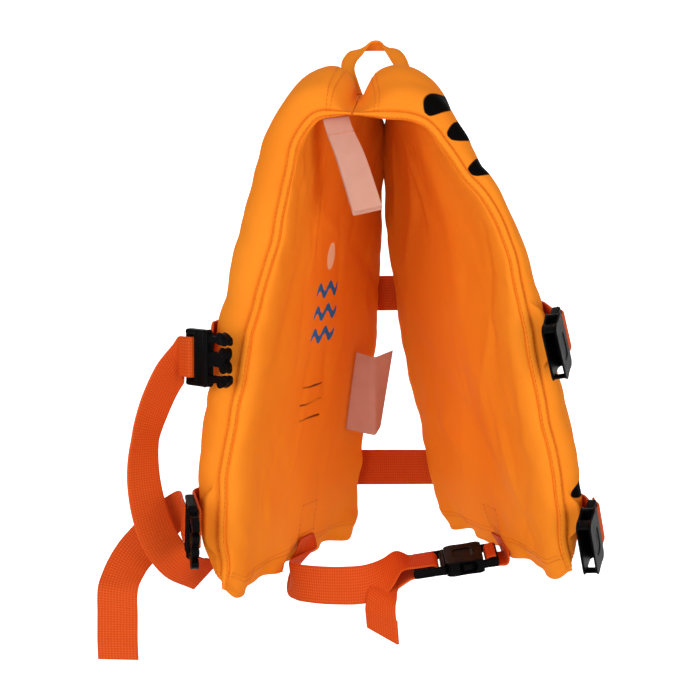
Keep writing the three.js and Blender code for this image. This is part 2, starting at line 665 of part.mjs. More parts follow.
// The prong half: webbing frame, two springy arms with heads, and a middle tongue with two knobs.
function maleGeometry() {
  const half = roundedEnd(BUCKLE_HALF_WIDTH);
  half.lineTo(MALE_FRAME_LENGTH - BUCKLE_CORNER, BUCKLE_HALF_WIDTH);
  const flangeHalfWidth = BUCKLE_HALF_WIDTH - MALE_FLANGE.inset;
  const flange = box(MALE_FLANGE.start, MALE_FRAME_LENGTH - GAP, flangeHalfWidth, MALE_FLANGE.half_height);
  let solid = solidOf(plate(mirroredShape(follow(half, PRONG_OUTLINE)), BAR_HALF)).add(solidOf(flange));
  for (const slot of MALE_SLOTS) {
    solid = solid.subtract(solidOf(box(slot.start, slot.end, SLOT_HALF_WIDTH, 2 * BAR_HALF)));
  }
  return geometryOf(solid);
}

// The socket half: webbing bar, slot and a flat sleeve with a mouth and two side windows.
function femaleGeometry() {
  const frame = roundedEnd(FEMALE_FRAME_HALF_WIDTH);
  frame.lineTo(FEMALE_BODY_START + FEMALE_BEVEL, FEMALE_FRAME_HALF_WIDTH);
  frame.lineTo(FEMALE_BODY_START + FEMALE_BEVEL, 0);
  const body = new THREE.Path();
  body.moveTo(FEMALE_BODY_START, 0);
  follow(body, SLEEVE_OUTLINE);
  const mouth = box(SOCKET.start, FEMALE_LENGTH + GAP, SOCKET.half_width, SOCKET.half_height);
  const windows = box(SIDE_WINDOW.start, SIDE_WINDOW.end, 2 * BUCKLE_HALF_WIDTH, SOCKET.half_height);
  const slot = box(FEMALE_SLOT.start, FEMALE_SLOT.end, SLOT_HALF_WIDTH, 2 * FEMALE_BODY_HALF);
  const solid = solidOf(plate(mirroredShape(frame), BAR_HALF))
    .add(solidOf(plate(mirroredShape(body), FEMALE_BODY_HALF, FEMALE_BEVEL)))
    .subtract(solidOf(mouth))
    .subtract(solidOf(windows))
    .subtract(solidOf(slot));
  return geometryOf(solid);
}

const frontPanel = new Panel(FRONT_SECTIONS, FRONT_CREASES, -1);
const backPanel = new Panel(BACK_SECTIONS, BACK_CREASES, 1);

// Belt stations on a panel's outer face, from the far seam to where the belt leaves for its buckle.
function beltOnPanel(panel, belt, nearHeight, leave) {
  const lift = BELT_GAP + WEBBING_THICKNESS / 2;
  const rim = panel.onFace("outer", 1, belt.far);
  const beyond = new THREE.Vector3(0, SEAM_PROUD + 2 * lift, 0);
  const result = [{ at: rim.at.add(beyond), across: rim.up }];
  const inside = panel.stations().reverse().filter((across) => across < 1 && across > leave);
  for (const across of inside) {
    const height = THREE.MathUtils.lerp(nearHeight, belt.far, smooth(BELT_SLOPE.from, BELT_SLOPE.to, across));
    const place = panel.onFace("outer", across, height);
    result.push({ at: place.at.addScaledVector(place.out, lift), across: place.up });
  }
  return result;
}

// One belt from its socket half round the outside of both panels to its prong half and free tail.
function beltStations(belt, maleFrame, femaleFrame, tail) {
  const back = beltOnPanel(backPanel, belt, belt.back_near, belt.back_leave);
  const front = beltOnPanel(frontPanel, belt, belt.front_near, belt.front_leave);
  const loop = threaded(femaleFrame, FEMALE_ROUTE);
  const ladder = threaded(maleFrame, MALE_ROUTE);
  const free = smoothed([ladder[ladder.length - 1], ...tail.map(station)], CURVE_STEPS).slice(1);
  return [...loop, ...back.reverse(), ...front, ...ladder, ...free];
}

const frames = Object.fromEntries(Object.entries(BUCKLES).map(([name, seat]) => [name, buckleFrame(seat)]));
frames.crotch_female = frames.crotch_male
  .clone()
  .multiply(new THREE.Matrix4().makeTranslation(CROTCH_PAIR_LENGTH, 0, 0))
  .multiply(new THREE.Matrix4().makeRotationX(Math.PI))
  .multiply(new THREE.Matrix4().makeRotationZ(Math.PI));

// Where crotch webbing is sewn to a panel's inner face, clear of it by a gap.
function sewnStart(panel, { across, height, width }, gap) {
  const sewn = panel.onFace("inner", across, height);
  return {
    at: sewn.at.addScaledVector(sewn.out, gap + WEBBING_THICKNESS / 2),
    across: new THREE.Vector3(...width),
  };
}

// The long crotch webbing: off the front hem, round into the prong half from above, then its free end.
function crotchFrontStations() {
  const start = sewnStart(frontPanel, CROTCH_FRONT_SEWN, BELT_GAP);
  const ladder = threaded(frames.crotch_male, CROTCH_MALE_ROUTE);
  const lead = smoothed([start, ...CROTCH_FRONT_LEAD.map(station), ladder[0]], CURVE_STEPS).slice(0, -1);
  const tail = smoothed([ladder[ladder.length - 1], ...CROTCH_FRONT_TAIL.map(station)], CURVE_STEPS).slice(1);
  return [...lead, ...ladder, ...tail];
}

// The short crotch webbing: off the back hem and round the socket half's bar.
function crotchBackStations() {
  const start = sewnStart(backPanel, CROTCH_BACK_SEWN, GAP);
  const ladder = threaded(frames.crotch_female, [...FEMALE_BAR_ROUTE].reverse());
  const lead = smoothed([start, ...CROTCH_BACK_LEAD.map(station), ladder[0]], CURVE_STEPS).slice(0, -1);
  return [...lead, ...ladder];
}

// The neck label hangs from the underside of the front panel's near shoulder.
function neckLabelStations() {
  const column = frontPanel.column(NECK_LABEL_AT.across);
  const under = frontPanel.layers(NECK_LABEL_AT.across, column.lengthAt(NECK_LABEL_AT.row), column);
  const start = {
    at: under.inner.addScaledVector(under.normal, -5 * GAP),
    across: new THREE.Vector3(...NECK_LABEL_AT.width),
  };
  return smoothed([start, ...NECK_LABEL.map(station)], CURVE_STEPS);
}

// The folded side label stands off the front panel's inner face.
function sideLabelStations() {
  const sewn = frontPanel.onFace("inner", SIDE_LABEL_AT.across, SIDE_LABEL_AT.height);
  const start = { at: sewn.at.addScaledVector(sewn.out, 3 * GAP), across: sewn.up };
  return [start, ...SIDE_LABEL_FOLDS.map(station)];
}

function piece(name, geometry, material) {
  const mesh = new THREE.Mesh(geometry, material);
  mesh.name = name;
  return mesh;
}

function webbing(name, stations) {
  return piece(name, strip(stations, WEBBING_WIDTH, WEBBING_THICKNESS), orangeWebbing);
}

const vest = new THREE.Group();
vest.add(piece("front_panel", frontPanel.geometry(), orangeCloth));
vest.add(piece("back_panel", backPanel.geometry(), orangeCloth));
vest.add(webbing("upper_belt", beltStations(UPPER_BELT, frames.upper_male, frames.upper_female, UPPER_TAIL)));
vest.add(webbing("lower_belt", beltStations(LOWER_BELT, frames.lower_male, frames.lower_female, LOWER_TAIL)));
vest.add(webbing("crotch_strap_front", crotchFrontStations()));
vest.add(webbing("crotch_strap_back", crotchBackStations()));
for (const [name, frame] of Object.entries(frames)) {
  const geometry = name.endsWith("female") ? femaleGeometry() : maleGeometry();
  const buckle = piece(`${name}_buckle`, geometry, blackPlastic);
  frame.decompose(buckle.position, buckle.quaternion, buckle.scale);
  vest.add(buckle);
}
const loopStations = smoothed(GRAB_LOOP.map(station), CURVE_STEPS);
vest.add(piece("grab_loop", strip(loopStations, LOOP_WIDTH, LOOP_THICKNESS), orangeCloth));
vest.add(piece("neck_label", strip(neckLabelStations(), NECK_LABEL_WIDTH, LABEL_THICKNESS), labelCloth));
vest.add(piece("side_label", strip(sideLabelStations(), SIDE_LABEL_HEIGHT, LABEL_THICKNESS), labelCloth));

export default vest;
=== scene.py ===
# %% [markdown]
# A child's padded swim vest, hung open by its grab loop. Two foam panels in orange nylon are joined at the
# shoulders, two webbing belts close one side, and the other side hangs unbuckled with its buckle halves
# free. The CAD model gives the frame: its origin is where a hook carries the loop, with +Z up and the open
# side towards -Y. Everything here is built in millimetres and turned to metres when a mesh is made.

import math

import bmesh
import bpy
import numpy as np
from mathutils import Matrix, Vector


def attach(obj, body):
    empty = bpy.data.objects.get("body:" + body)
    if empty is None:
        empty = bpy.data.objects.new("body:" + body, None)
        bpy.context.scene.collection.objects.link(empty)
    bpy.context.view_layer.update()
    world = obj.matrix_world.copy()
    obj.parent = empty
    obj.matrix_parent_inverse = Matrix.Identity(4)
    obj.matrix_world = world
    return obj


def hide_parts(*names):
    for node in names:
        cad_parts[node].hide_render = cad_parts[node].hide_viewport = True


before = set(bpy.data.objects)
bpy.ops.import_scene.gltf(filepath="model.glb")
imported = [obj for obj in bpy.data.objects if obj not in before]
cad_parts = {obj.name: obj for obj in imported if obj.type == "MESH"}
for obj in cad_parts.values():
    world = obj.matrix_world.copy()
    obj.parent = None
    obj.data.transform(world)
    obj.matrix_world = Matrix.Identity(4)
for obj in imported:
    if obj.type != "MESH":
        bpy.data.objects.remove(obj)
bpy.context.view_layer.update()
MM = 0.001

# %% [markdown]
# Three small helpers serve every piece. One turns a colour as it is usually written, in sRGB hex, into the
# linear light that shaders work in. One adds a node with its settings and links. One makes a mesh object
# from points in millimetres: the place is in the mesh, and the object itself stays at the origin.


# %% Colours, nodes and pieces
def linear(hex_colour):
    """Linear RGBA of an sRGB hex colour."""
    channels = [int(hex_colour[start : start + 2], 16) / 255 for start in (1, 3, 5)]
    return [c / 12.92 if c <= 0.04045 else ((c + 0.055) / 1.055) ** 2.4 for c in channels] + [1.0]


def add_node(tree, kind, inputs=None, **settings):
    """Adds a node with its settings. Its inputs are given as values, or as sockets to link from."""
    made = tree.nodes.new(kind)
    for name, value in settings.items():
        setattr(made, name, value)
    for name, value in (inputs or {}).items():
        if isinstance(value, bpy.types.NodeSocket):
            tree.links.new(value, made.inputs[name])
        else:
            made.inputs[name].default_value = value
    return made


def add_piece(name, points_mm, faces, material, edges=()):
    """A smooth-shaded mesh object with its place in its mesh."""
    mesh = bpy.data.meshes.new(name)
    mesh.from_pydata((np.asarray(points_mm) * MM).tolist(), list(edges), faces)
    mesh.polygons.foreach_set("use_smooth", [True] * len(mesh.polygons))
    mesh.materials.append(material)
    piece = bpy.data.objects.new(name, mesh)
    bpy.context.scene.collection.objects.link(piece)
    return piece


print("mid grey is", round(linear("#808080")[0], 3), "in linear light")

# %% [markdown]
# The photograph was taken from a little above the middle of the vest, about a metre and a half away, with a
# long lens. A camera with the same place, tilt and lens makes the render line up with it. The stage is a
# pale paper sweep, floor and back wall in one curve, so that no horizon shows behind the vest.

# %% Camera
CAMERA_PLACE = (-0.016, -1.575, -0.051)
CAMERA_TILT = 5.24
CAMERA_LENS = 123.43
CAMERA_SENSOR = 36

camera_data = bpy.data.cameras.new("Camera")
camera_data.lens = CAMERA_LENS
camera_data.sensor_width = CAMERA_SENSOR
camera = bpy.data.objects.new("Camera", camera_data)
camera.location = CAMERA_PLACE
camera.rotation_euler = (math.radians(90 - CAMERA_TILT), 0, 0)
bpy.context.scene.collection.objects.link(camera)
bpy.context.scene.camera = camera
print("camera at", CAMERA_PLACE, "with a lens of", CAMERA_LENS, "mm")

# %% Paper sweep
FLOOR_HEIGHT = -0.62
PAPER_GLOW = 0.85
GLOW_FROM = 0.2
GLOW_TO = 0.8
SWEEP = {"front": -2.8, "back": 2.8, "radius": 0.9, "top": 2.2, "half_width": 3.0, "arc_steps": 16}

paper = bpy.data.materials.new("Matt white paper sweep")
paper.use_nodes = True
paper_shader = paper.node_tree.nodes["Principled BSDF"]
paper_shader.inputs["Base Color"].default_value = linear("#f5f5f3")
paper_shader.inputs["Roughness"].default_value = 0.9
paper_shader.inputs["Emission Color"].default_value = linear("#ffffff")
place = add_node(paper.node_tree, "ShaderNodeTexCoord").outputs["Object"]
behind = add_node(paper.node_tree, "ShaderNodeSeparateXYZ", {0: place}).outputs["Y"]
glow = {"Value": behind, "From Min": GLOW_FROM, "From Max": GLOW_TO, "To Max": PAPER_GLOW}
glow = add_node(paper.node_tree, "ShaderNodeMapRange", glow).outputs[0]
paper.node_tree.links.new(glow, paper_shader.inputs["Emission Strength"])

bend = np.linspace(0, math.pi / 2, SWEEP["arc_steps"] + 1)
profile = [(SWEEP["front"], FLOOR_HEIGHT)]
for angle in bend:
    along = SWEEP["back"] - SWEEP["radius"] + SWEEP["radius"] * math.sin(angle)
    profile.append((along, FLOOR_HEIGHT + SWEEP["radius"] * (1 - math.cos(angle))))
profile.append((SWEEP["back"], SWEEP["top"]))
sweep_points = [(x, y, z) for y, z in profile for x in (-SWEEP["half_width"], SWEEP["half_width"])]
sweep_faces = [(2 * i, 2 * i + 1, 2 * i + 3, 2 * i + 2) for i in range(len(profile) - 1)]
sweep = add_piece("paper_sweep", np.array(sweep_points) / MM, sweep_faces, paper)
print("stage floor at", FLOOR_HEIGHT, "m")

# %% [markdown]
# Soft studio light: a large key light at the upper left in front, a weaker fill at the right, a weak top
# light, and a dim even world. Large lights give the soft edges that the photograph's shadows have. The
# paper behind the vest has a light of its own, as a lit background has. Under the vest it has none, so the
# floor throws little light up into it.

# %% Lights
LIGHTS = [
    {"name": "key", "place": (-0.9, -1.9, 0.05), "size": 1.2, "power": 23},
    {"name": "fill", "place": (1.3, -1.7, -0.15), "size": 1.2, "power": 18},
    {"name": "top", "place": (0.1, -0.3, 1.4), "size": 1.0, "power": 7},
]
LIGHT_TARGET = Vector((0, 0, -0.18))
WORLD_STRENGTH = 0.26

for row in LIGHTS:
    light = bpy.data.lights.new(row["name"], "AREA")
    light.size = row["size"]
    light.energy = row["power"]
    lamp = bpy.data.objects.new(row["name"], light)
    lamp.location = row["place"]
    lamp.rotation_euler = (LIGHT_TARGET - lamp.location).to_track_quat("-Z", "Y").to_euler()
    bpy.context.scene.collection.objects.link(lamp)
world = bpy.data.worlds.new("Studio")
world.use_nodes = True
world.node_tree.nodes["Background"].inputs["Color"].default_value = linear("#ffffff")
world.node_tree.nodes["Background"].inputs["Strength"].default_value = WORLD_STRENGTH
bpy.context.scene.world = world
bpy.context.scene.view_settings.view_transform = "Standard"
print(len(LIGHTS), "area lights")

# %% [markdown]
# Every finish starts in the same way: a shader with its plain values set, and the place of a point on the
# object in metres. Two more helpers draw what cloth and plastic have in common: crossing threads, and a
# colour that drifts. Image textures could do it too, but worked-out patterns stay sharp at any distance.


# %% Helpers for finishes
def new_material(name, colour, roughness, specular):
    """A material with its shader's plain values set, and what else is added to it needs."""
    material = bpy.data.materials.new(name)
    material.use_nodes = True
    tree = material.node_tree
    shader = tree.nodes["Principled BSDF"]
    shader.inputs["Base Color"].default_value = linear(colour)
    shader.inputs["Roughness"].default_value = roughness
    shader.inputs["Specular IOR Level"].default_value = specular
    return material, tree, shader, add_node(tree, "ShaderNodeTexCoord").outputs["Object"]


def woven_height(tree, pitch_mm, ratio=1.0):
    """The height of a plain weave on the UV map: crossing waves of threads."""
    place = add_node(tree, "ShaderNodeUVMap", uv_map="cloth").outputs["UV"]
    threads = []
    for direction, pitch in (("X", pitch_mm), ("Y", pitch_mm * ratio)):
        inputs = {"Vector": place, "Scale": math.pi / 10 / (pitch * MM), "Distortion": 0.0}
        settings = {"wave_type": "BANDS", "bands_direction": direction, "wave_profile": "SIN"}
        threads.append(add_node(tree, "ShaderNodeTexWave", inputs, **settings).outputs["Fac"])
    return add_node(tree, "ShaderNodeMath", dict(enumerate(threads)), operation="MULTIPLY").outputs[0]


def clouded(tree, place, low, high, size_mm):
    """A colour that drifts between two, in patches of a given size."""
    patches = {"Vector": place, "Scale": 1 / (size_mm * MM)}
    drift = add_node(tree, "ShaderNodeTexNoise", patches).outputs["Fac"]
    ends = {0: drift, 6: linear(low), 7: linear(high)}
    return add_node(tree, "ShaderNodeMix", ends, data_type="RGBA").outputs[2]


print("threads 1 mm apart need a wave scale of", round(math.pi / 10 / MM, 1))

# %% [markdown]
# The cover is nylon taffeta with a thin coating: a plain weave of flat threads, nearly matt in soft light,
# with slight changes of shade where the cloth is stretched or rubbed. The threads are about 0.25 mm apart,
# which is finer than a pixel of the render, so the weave is drawn at 0.9 mm to show at all. It lies on the
# panel's own UV map, in metres, so it follows the cloth round every bulge. The back has black stripes, and
# the inside of the front a small print. Their edges come from attributes that hold each point's distance
# from the nearest printed shape.

# %% Cover cloth
WEAVE_PITCH_MM = 0.9
RUBBED_MM = 25
CRUMPLE_MM = 14
PRINT_EDGE = 0.04
INKS = {"stripe": "#0b0a09", "blue_print": "#2f6fae", "pale_print": "#f3d9b8", "dark_print": "#6b3a1c"}

cover_cloth, tree, shader, place = new_material(
    "Coated nylon taffeta", "#f0821c", roughness=0.6, specular=0.004
)
paint = clouded(tree, place, "#f0801f", "#f4902a", size_mm=60)
for ink_name, colour in INKS.items():
    amount = add_node(tree, "ShaderNodeAttribute", attribute_name=ink_name).outputs["Fac"]
    edge = {"Value": amount, "From Min": 0.5 - PRINT_EDGE, "From Max": 0.5 + PRINT_EDGE}
    inside = add_node(tree, "ShaderNodeMapRange", edge).outputs[0]
    inked = {0: inside, 6: paint, 7: linear(colour)}
    paint = add_node(tree, "ShaderNodeMix", inked, data_type="RGBA").outputs[2]
tree.links.new(paint, shader.inputs["Base Color"])
rub = add_node(tree, "ShaderNodeTexNoise", {"Vector": place, "Scale": 1 / (RUBBED_MM * MM)}).outputs["Fac"]
rub = add_node(tree, "ShaderNodeMapRange", {"Value": rub, "To Min": 0.5, "To Max": 0.68}).outputs[0]
tree.links.new(rub, shader.inputs["Roughness"])
relief = {"Height": woven_height(tree, WEAVE_PITCH_MM), "Strength": 0.3, "Distance": 0.08 * MM}
weave = add_node(tree, "ShaderNodeBump", relief).outputs[0]
crumple = {"Vector": place, "Scale": 1 / (CRUMPLE_MM * MM)}
crumple = add_node(tree, "ShaderNodeTexNoise", crumple).outputs["Fac"]
relief = {"Height": crumple, "Strength": 0.2, "Distance": 1.2 * MM, "Normal": weave}
tree.links.new(add_node(tree, "ShaderNodeBump", relief).outputs[0], shader.inputs["Normal"])
print("cover cloth weave drawn at", WEAVE_PITCH_MM, "mm")

# %% [markdown]
# The belts are polypropylene webbing, woven from bulky shiny yarn into ribs that run across the tape. The
# eye sees a waffle of small bright bumps with dark gaps between them. The ribs themselves are modelled on
# the tape, and the material adds the gaps between yarns as a small bump and as painted shade: a darker
# colour where the weave is low.

# %% Webbing
RIB_PITCH_MM = 1.5
YARN_PITCH_MM = 1.9

webbing_cloth, tree, shader, place = new_material(
    "Woven polypropylene webbing", "#e6601e", roughness=0.6, specular=0.06
)
yarns = woven_height(tree, YARN_PITCH_MM, RIB_PITCH_MM / YARN_PITCH_MM)
# The dark colour in the gaps between yarns is painted shade, mixed in where the weave is low.
painted_gap_shade = {0: yarns, 6: linear("#c84614"), 7: clouded(tree, place, "#d8541c", "#e26426", size_mm=40)}
yarns_with_painted_gap_shade = add_node(tree, "ShaderNodeMix", painted_gap_shade, data_type="RGBA").outputs[2]
tree.links.new(yarns_with_painted_gap_shade, shader.inputs["Base Color"])
bumps = add_node(tree, "ShaderNodeBump", {"Height": yarns, "Strength": 0.2, "Distance": 0.25 * MM})
tree.links.new(bumps.outputs[0], shader.inputs["Normal"])
print("webbing waffle of", YARN_PITCH_MM, "by", RIB_PITCH_MM, "mm")

# %% [markdown]
# The buckles are injection-moulded acetal: black right through, satin, with a fine spark-eroded grain and
# handling that has polished some places more than others. The grain of about 0.1 mm is drawn at 0.3 mm, so
# that it breaks up the shine a little.

# %% Buckle plastic
GRAIN_MM = 0.3
HANDLED_MM = 7

buckle_plastic, tree, shader, place = new_material(
    "Moulded black acetal", "#050506", roughness=0.45, specular=0.04
)
tree.links.new(clouded(tree, place, "#040405", "#09090a", size_mm=4), shader.inputs["Base Color"])
handled = {"Vector": place, "Scale": 1 / (HANDLED_MM * MM)}
handled = add_node(tree, "ShaderNodeTexNoise", handled).outputs["Fac"]
handled = add_node(tree, "ShaderNodeMapRange", {"Value": handled, "To Min": 0.36, "To Max": 0.54})
tree.links.new(handled.outputs[0], shader.inputs["Roughness"])
grain = {"Vector": place, "Scale": 1 / (GRAIN_MM * MM)}
grain = add_node(tree, "ShaderNodeTexNoise", grain).outputs["Fac"]
grain = add_node(tree, "ShaderNodeBump", {"Height": grain, "Strength": 0.25, "Distance": 0.05 * MM})
tree.links.new(grain.outputs[0], shader.inputs["Normal"])
print("buckle grain drawn at", GRAIN_MM, "mm")

# %% [markdown]
# The labels are woven polyester ribbon, thin and off-white. Their colour here is darker and pinker than
# that: painted shade, and painted orange light reflected from the cloth round them. Their threads are about
# 0.2 mm apart and are drawn at 0.7 mm to show. The seams are sewn with twisted polyester thread, a shade
# darker than the cloth that it holds.

# %% Label ribbon and thread
RIBBON_WEAVE_MM = 0.7

# The ribbon's colours below are its off-white with painted shade and painted orange reflected light.
label_ribbon, tree, shader, place = new_material(
    "Polyester label ribbon", "#d0a08e", roughness=0.7, specular=0.1
)
tree.links.new(clouded(tree, place, "#c08c7a", "#d09e8c", size_mm=12), shader.inputs["Base Color"])
ribbon_weave = {"Height": woven_height(tree, RIBBON_WEAVE_MM), "Strength": 0.3, "Distance": 0.06 * MM}
tree.links.new(add_node(tree, "ShaderNodeBump", ribbon_weave).outputs[0], shader.inputs["Normal"])
panel_thread, tree, shader, place = new_material(
    "Orange polyester thread", "#dc7016", roughness=0.6, specular=0.2
)
tree.links.new(clouded(tree, place, "#cc600c", "#e27c1a", size_mm=3), shader.inputs["Base Color"])
webbing_thread, tree, shader, place = new_material(
    "Red polyester thread", "#c8461a", roughness=0.6, specular=0.2
)
tree.links.new(clouded(tree, place, "#b83a12", "#d8521e", size_mm=3), shader.inputs["Base Color"])
print(len(bpy.data.materials), "materials")

# %% [markdown]
# Each panel is a foam pad in a cloth cover, sewn shut round its edge. Its middle layer is a surface given
# by ten levels from the hem up over the shoulder to the hinge where the two panels meet, and the cover lies
# a pad's half thickness to each side of it. The tables repeat the CAD model's values, so the cover has the
# CAD panel's true shape before any air goes into it.

# %% Panel tables
SHARED_COLUMNS = ("half_width", "far_lift", "crown", "inner")
SHARED_LEVELS = [
    (121, 0, 0, 9),
    (124.5, 0, 4, 13),
    (125, 0, 6, 13),
    (124, 0, 6, 12.5),
    (119, 0, 6, 9),
    (107, 2, 3, 5.5),
    (104, 6, 0, 4.5),
    (104, 10, 0, 4),
    (104, 12, 0, 3.5),
    (104, 12, 0, 3.2),
]
OWN_COLUMNS = ("near_x", "near_z", "far_x", "far_z", "near_lift", "outer")
FRONT_LEVELS = [
    (-96.5, -339, -21, -338, 0, 14),
    (-95, -300, -18, -300, 0, 20),
    (-90.5, -245, -11, -245, 0, 23),
    (-78, -180, -3.2, -180, 0, 26),
    (-61, -113, 2, -113, 0, 28),
    (-52.5, -75, 4.2, -75, 3, 26),
    (-47.5, -55, 4.6, -56, 9, 23),
    (-38, -42, 5, -47, 16, 19),
    (-26, -40.5, 5.2, -43, 16.5, 14),
    (-15.1, -41, 7.5, -42, 7, 2),
]
BACK_LEVELS = [
    (118.5, -327, 58, -330, 0, 11),
    (115, -300, 50, -300, 0, 17.5),
    (107, -245, 38, -245, 0, 20.5),
    (93, -180, 24.5, -180, 0, 19),
    (78.5, -114, 14.5, -114, 0, 12.5),
    (52, -75, 11, -75, 3, 16.5),
    (42, -60, 11.4, -60, 9, 16.5),
    (29, -44.5, 11.6, -48, 16.5, 15),
    (7, -42, 11.2, -44, 20, 14),
    (-14.3, -41, 8.3, -42, 8, 2),
]
print(len(SHARED_LEVELS), "levels in each panel")

# %% [markdown]
# The inner faces have a few soft creases, as the CAD panels have, and broad swellings. Finer folds are left
# to chance, with a fixed seed: mostly upright ones on the faces, and short puckers that run in from the
# side seams, where the sewing gathers the cloth.

# %% Creases and folds
NOMINAL_HALF = 121
CREASE_COLUMNS = ("across_a", "height_a", "across_b", "height_b", "depth", "reach")
# From one place to another, how deep and how wide. A negative depth is a swelling.
FRONT_CREASES = [
    (-0.62, -120, -0.75, -190, 2, 9),
    (-0.7, -262, 0.1, -312, 2.5, 14),
    (-0.45, -110, -0.5, -300, -3, 36),
]
BACK_CREASES = [
    (0.75, -190, -0.82, -312, 3, 15),
    (-0.32, -75, -0.24, -175, -5, 32),
    (-0.24, -175, -0.55, -290, -5, 32),
]
FOLDS = {
    "count": 44,
    "depth": (0.7, 2.3),
    "length": (25, 95),
    "reach": (3.2, 7),
    "turn": 34,
    "levels": (-325, -55),
}
PUCKERS = {"pitch": (9, 19), "depth": (0.5, 1.5), "end": (0.7, 0.88), "slope": 7, "reach": (2.4, 3.6)}
FOLD_SEEDS = {"outer": 21, "inner": 22}
PANEL_SEED_STEP = 10


def random_folds(seed):
    """Small folds for one face, mostly upright, and short puckers that run in from the side seams."""
    chance = np.random.default_rng(seed)
    rows = []
    for _ in range(FOLDS["count"]):
        place = np.array([chance.uniform(-1, 1), chance.uniform(*FOLDS["levels"])])
        turn = math.radians(chance.normal(0, FOLDS["turn"]))
        half = chance.uniform(*FOLDS["length"]) / 2
        reach = half * np.array([math.sin(turn) / NOMINAL_HALF, math.cos(turn)])
        depth = chance.choice([-1, 1]) * chance.uniform(*FOLDS["depth"])
        rows.append((*(place - reach), *(place + reach), depth, chance.uniform(*FOLDS["reach"])))
    for side in (-1, 1):
        height = FOLDS["levels"][0]
        while height < FOLDS["levels"][1]:
            height += chance.uniform(*PUCKERS["pitch"])
            end = (side * chance.uniform(*PUCKERS["end"]), height + chance.normal(0, PUCKERS["slope"]))
            depth = chance.uniform(*PUCKERS["depth"])
            rows.append((side, height, *end, depth, chance.uniform(*PUCKERS["reach"])))
    return [dict(zip(CREASE_COLUMNS, row)) for row in rows]


print(len(random_folds(FOLD_SEEDS["outer"])), "folds and puckers on a face")

# %% [markdown]
# The middle layer is a smooth surface through the table's levels. A class holds one panel's table, gives
# any point of the surface and its normal, and measures the cloth up a column, from the hem to the hinge.

# %% Sums that shapes share
STEP = 0.01


def unit(vectors):
    return vectors / np.linalg.norm(vectors, axis=-1, keepdims=True)


def smooth_step(low, high, value):
    share = np.clip((value - low) / (high - low), 0, 1)
    return share * share * (3 - 2 * share)


def mix(a, b, share):
    return a + (b - a) * share


def round_off(distance, reach):
    """The quarter round of the padding, 0 at a seam and 1 where the padding is full."""
    inset = 1 - np.clip(distance / reach, 0, 1)
    return np.sqrt(1 - inset * inset)


def curved(start, end, leave, arrive, share):
    """A cubic curve between two values, with its slopes at both ends."""
    square = share**2
    cube = share**3
    start_part = (2 * cube - 3 * square + 1) * start + (cube - 2 * square + share) * leave
    end_part = (3 * square - 2 * cube) * end + (cube - square) * arrive
    return start_part + end_part


def run_lengths(points):
    """How far it is along a row of points to each of them."""
    steps = np.linalg.norm(np.diff(points, axis=0), axis=-1)
    return np.concatenate([np.zeros_like(steps[:1]), np.cumsum(steps, axis=0)])


def waves(place, rows, amount):
    """A sum of waves along a seam."""
    return sum(row[amount] * np.sin(2 * np.pi * place / row["wave"] + row["turn"]) for row in rows)


print("a quarter of the way up a smooth step:", smooth_step(0, 1, 0.25))

# %% Middle layer
NECK_INNER = 0.42
NECK_OUTER = 0.6
NECK_CENTRE_ROW = 7.35
COLUMN_STEPS = 120
FRONT_CORNER = {"lean": 6.5, "lift": 6}
BACK_CORNER = {"lean": 2.5, "lift": 5}


class Panel:
    """One panel. Across runs from -1 at the near seam to 1 at the far one, rows from hem to hinge."""

    def __init__(self, own_levels, creases, corner, outward):
        self.levels = dict(zip(SHARED_COLUMNS, np.array(SHARED_LEVELS, float).T))
        self.levels.update(zip(OWN_COLUMNS, np.array(own_levels, float).T))
        self.creases = [dict(zip(CREASE_COLUMNS, row)) for row in creases]
        own_seed = PANEL_SEED_STEP * outward
        self.folds = {face: random_folds(seed + own_seed) for face, seed in FOLD_SEEDS.items()}
        self.corner = corner
        self.outward = outward
        self.last = len(own_levels) - 1

    def value(self, column, row):
        """A table column's value at a fractional row, on a curve through the rows."""
        values = self.levels[column]
        low = np.clip(np.floor(row).astype(int), 0, self.last - 1)
        before, start, end, after = (values[np.clip(low + step, 0, self.last)] for step in (-1, 0, 1, 2))
        return curved(start, end, (end - before) / 2, (after - start) / 2, row - low)

    def middle(self, across, row):
        share = (across + 1) / 2
        bow = self.outward * self.value("crown", row) * (1 - across**2)
        lift = mix(self.value("near_lift", row), self.value("far_lift", row), share)
        neck_side = smooth_step(1, NECK_OUTER, np.abs(across))
        x = mix(self.value("near_x", row), self.value("far_x", row), share) + bow
        y = across * self.value("half_width", row)
        z = mix(self.value("near_z", row), self.value("far_z", row), share) + lift * neck_side
        return np.stack([x, y, z], axis=-1)

    def top_row(self, across):
        """The shoulder hinge on both sides, and the lower neck edge between them."""
        return mix(NECK_CENTRE_ROW, self.last, smooth_step(NECK_INNER, NECK_OUTER, np.abs(across)))

    def normal(self, across, row):
        a = np.clip(across, -1 + STEP, 1 - STEP)
        r = np.clip(row, STEP, self.last - STEP)
        along = self.middle(a + STEP, r) - self.middle(a - STEP, r)
        up = self.middle(a, r + STEP) - self.middle(a, r - STEP)
        return unit(np.cross(along, up)) * self.outward

    def column(self, across):
        """Rows up one column of the panel, and the length of cloth up to each."""
        rows = self.top_row(across) * np.linspace(0, 1, COLUMN_STEPS + 1)
        return rows, run_lengths(self.middle(np.full_like(rows, across), rows))


front_panel = Panel(FRONT_LEVELS, FRONT_CREASES, FRONT_CORNER, -1)
back_panel = Panel(BACK_LEVELS, BACK_CREASES, BACK_CORNER, 1)
for label, panel in (("front", front_panel), ("back", back_panel)):
    print(label, "panel is", round(panel.column(0.8)[1][-1]), "mm of cloth from hem to hinge")

# %% [markdown]
# The padding lies round the middle layer: thin at the seams, full a little way in. The soft things that a
# sewn pad does are added here: the hem ruffles, the seams wander, the lower near corners lean in, and the
# far edges meet at the top.

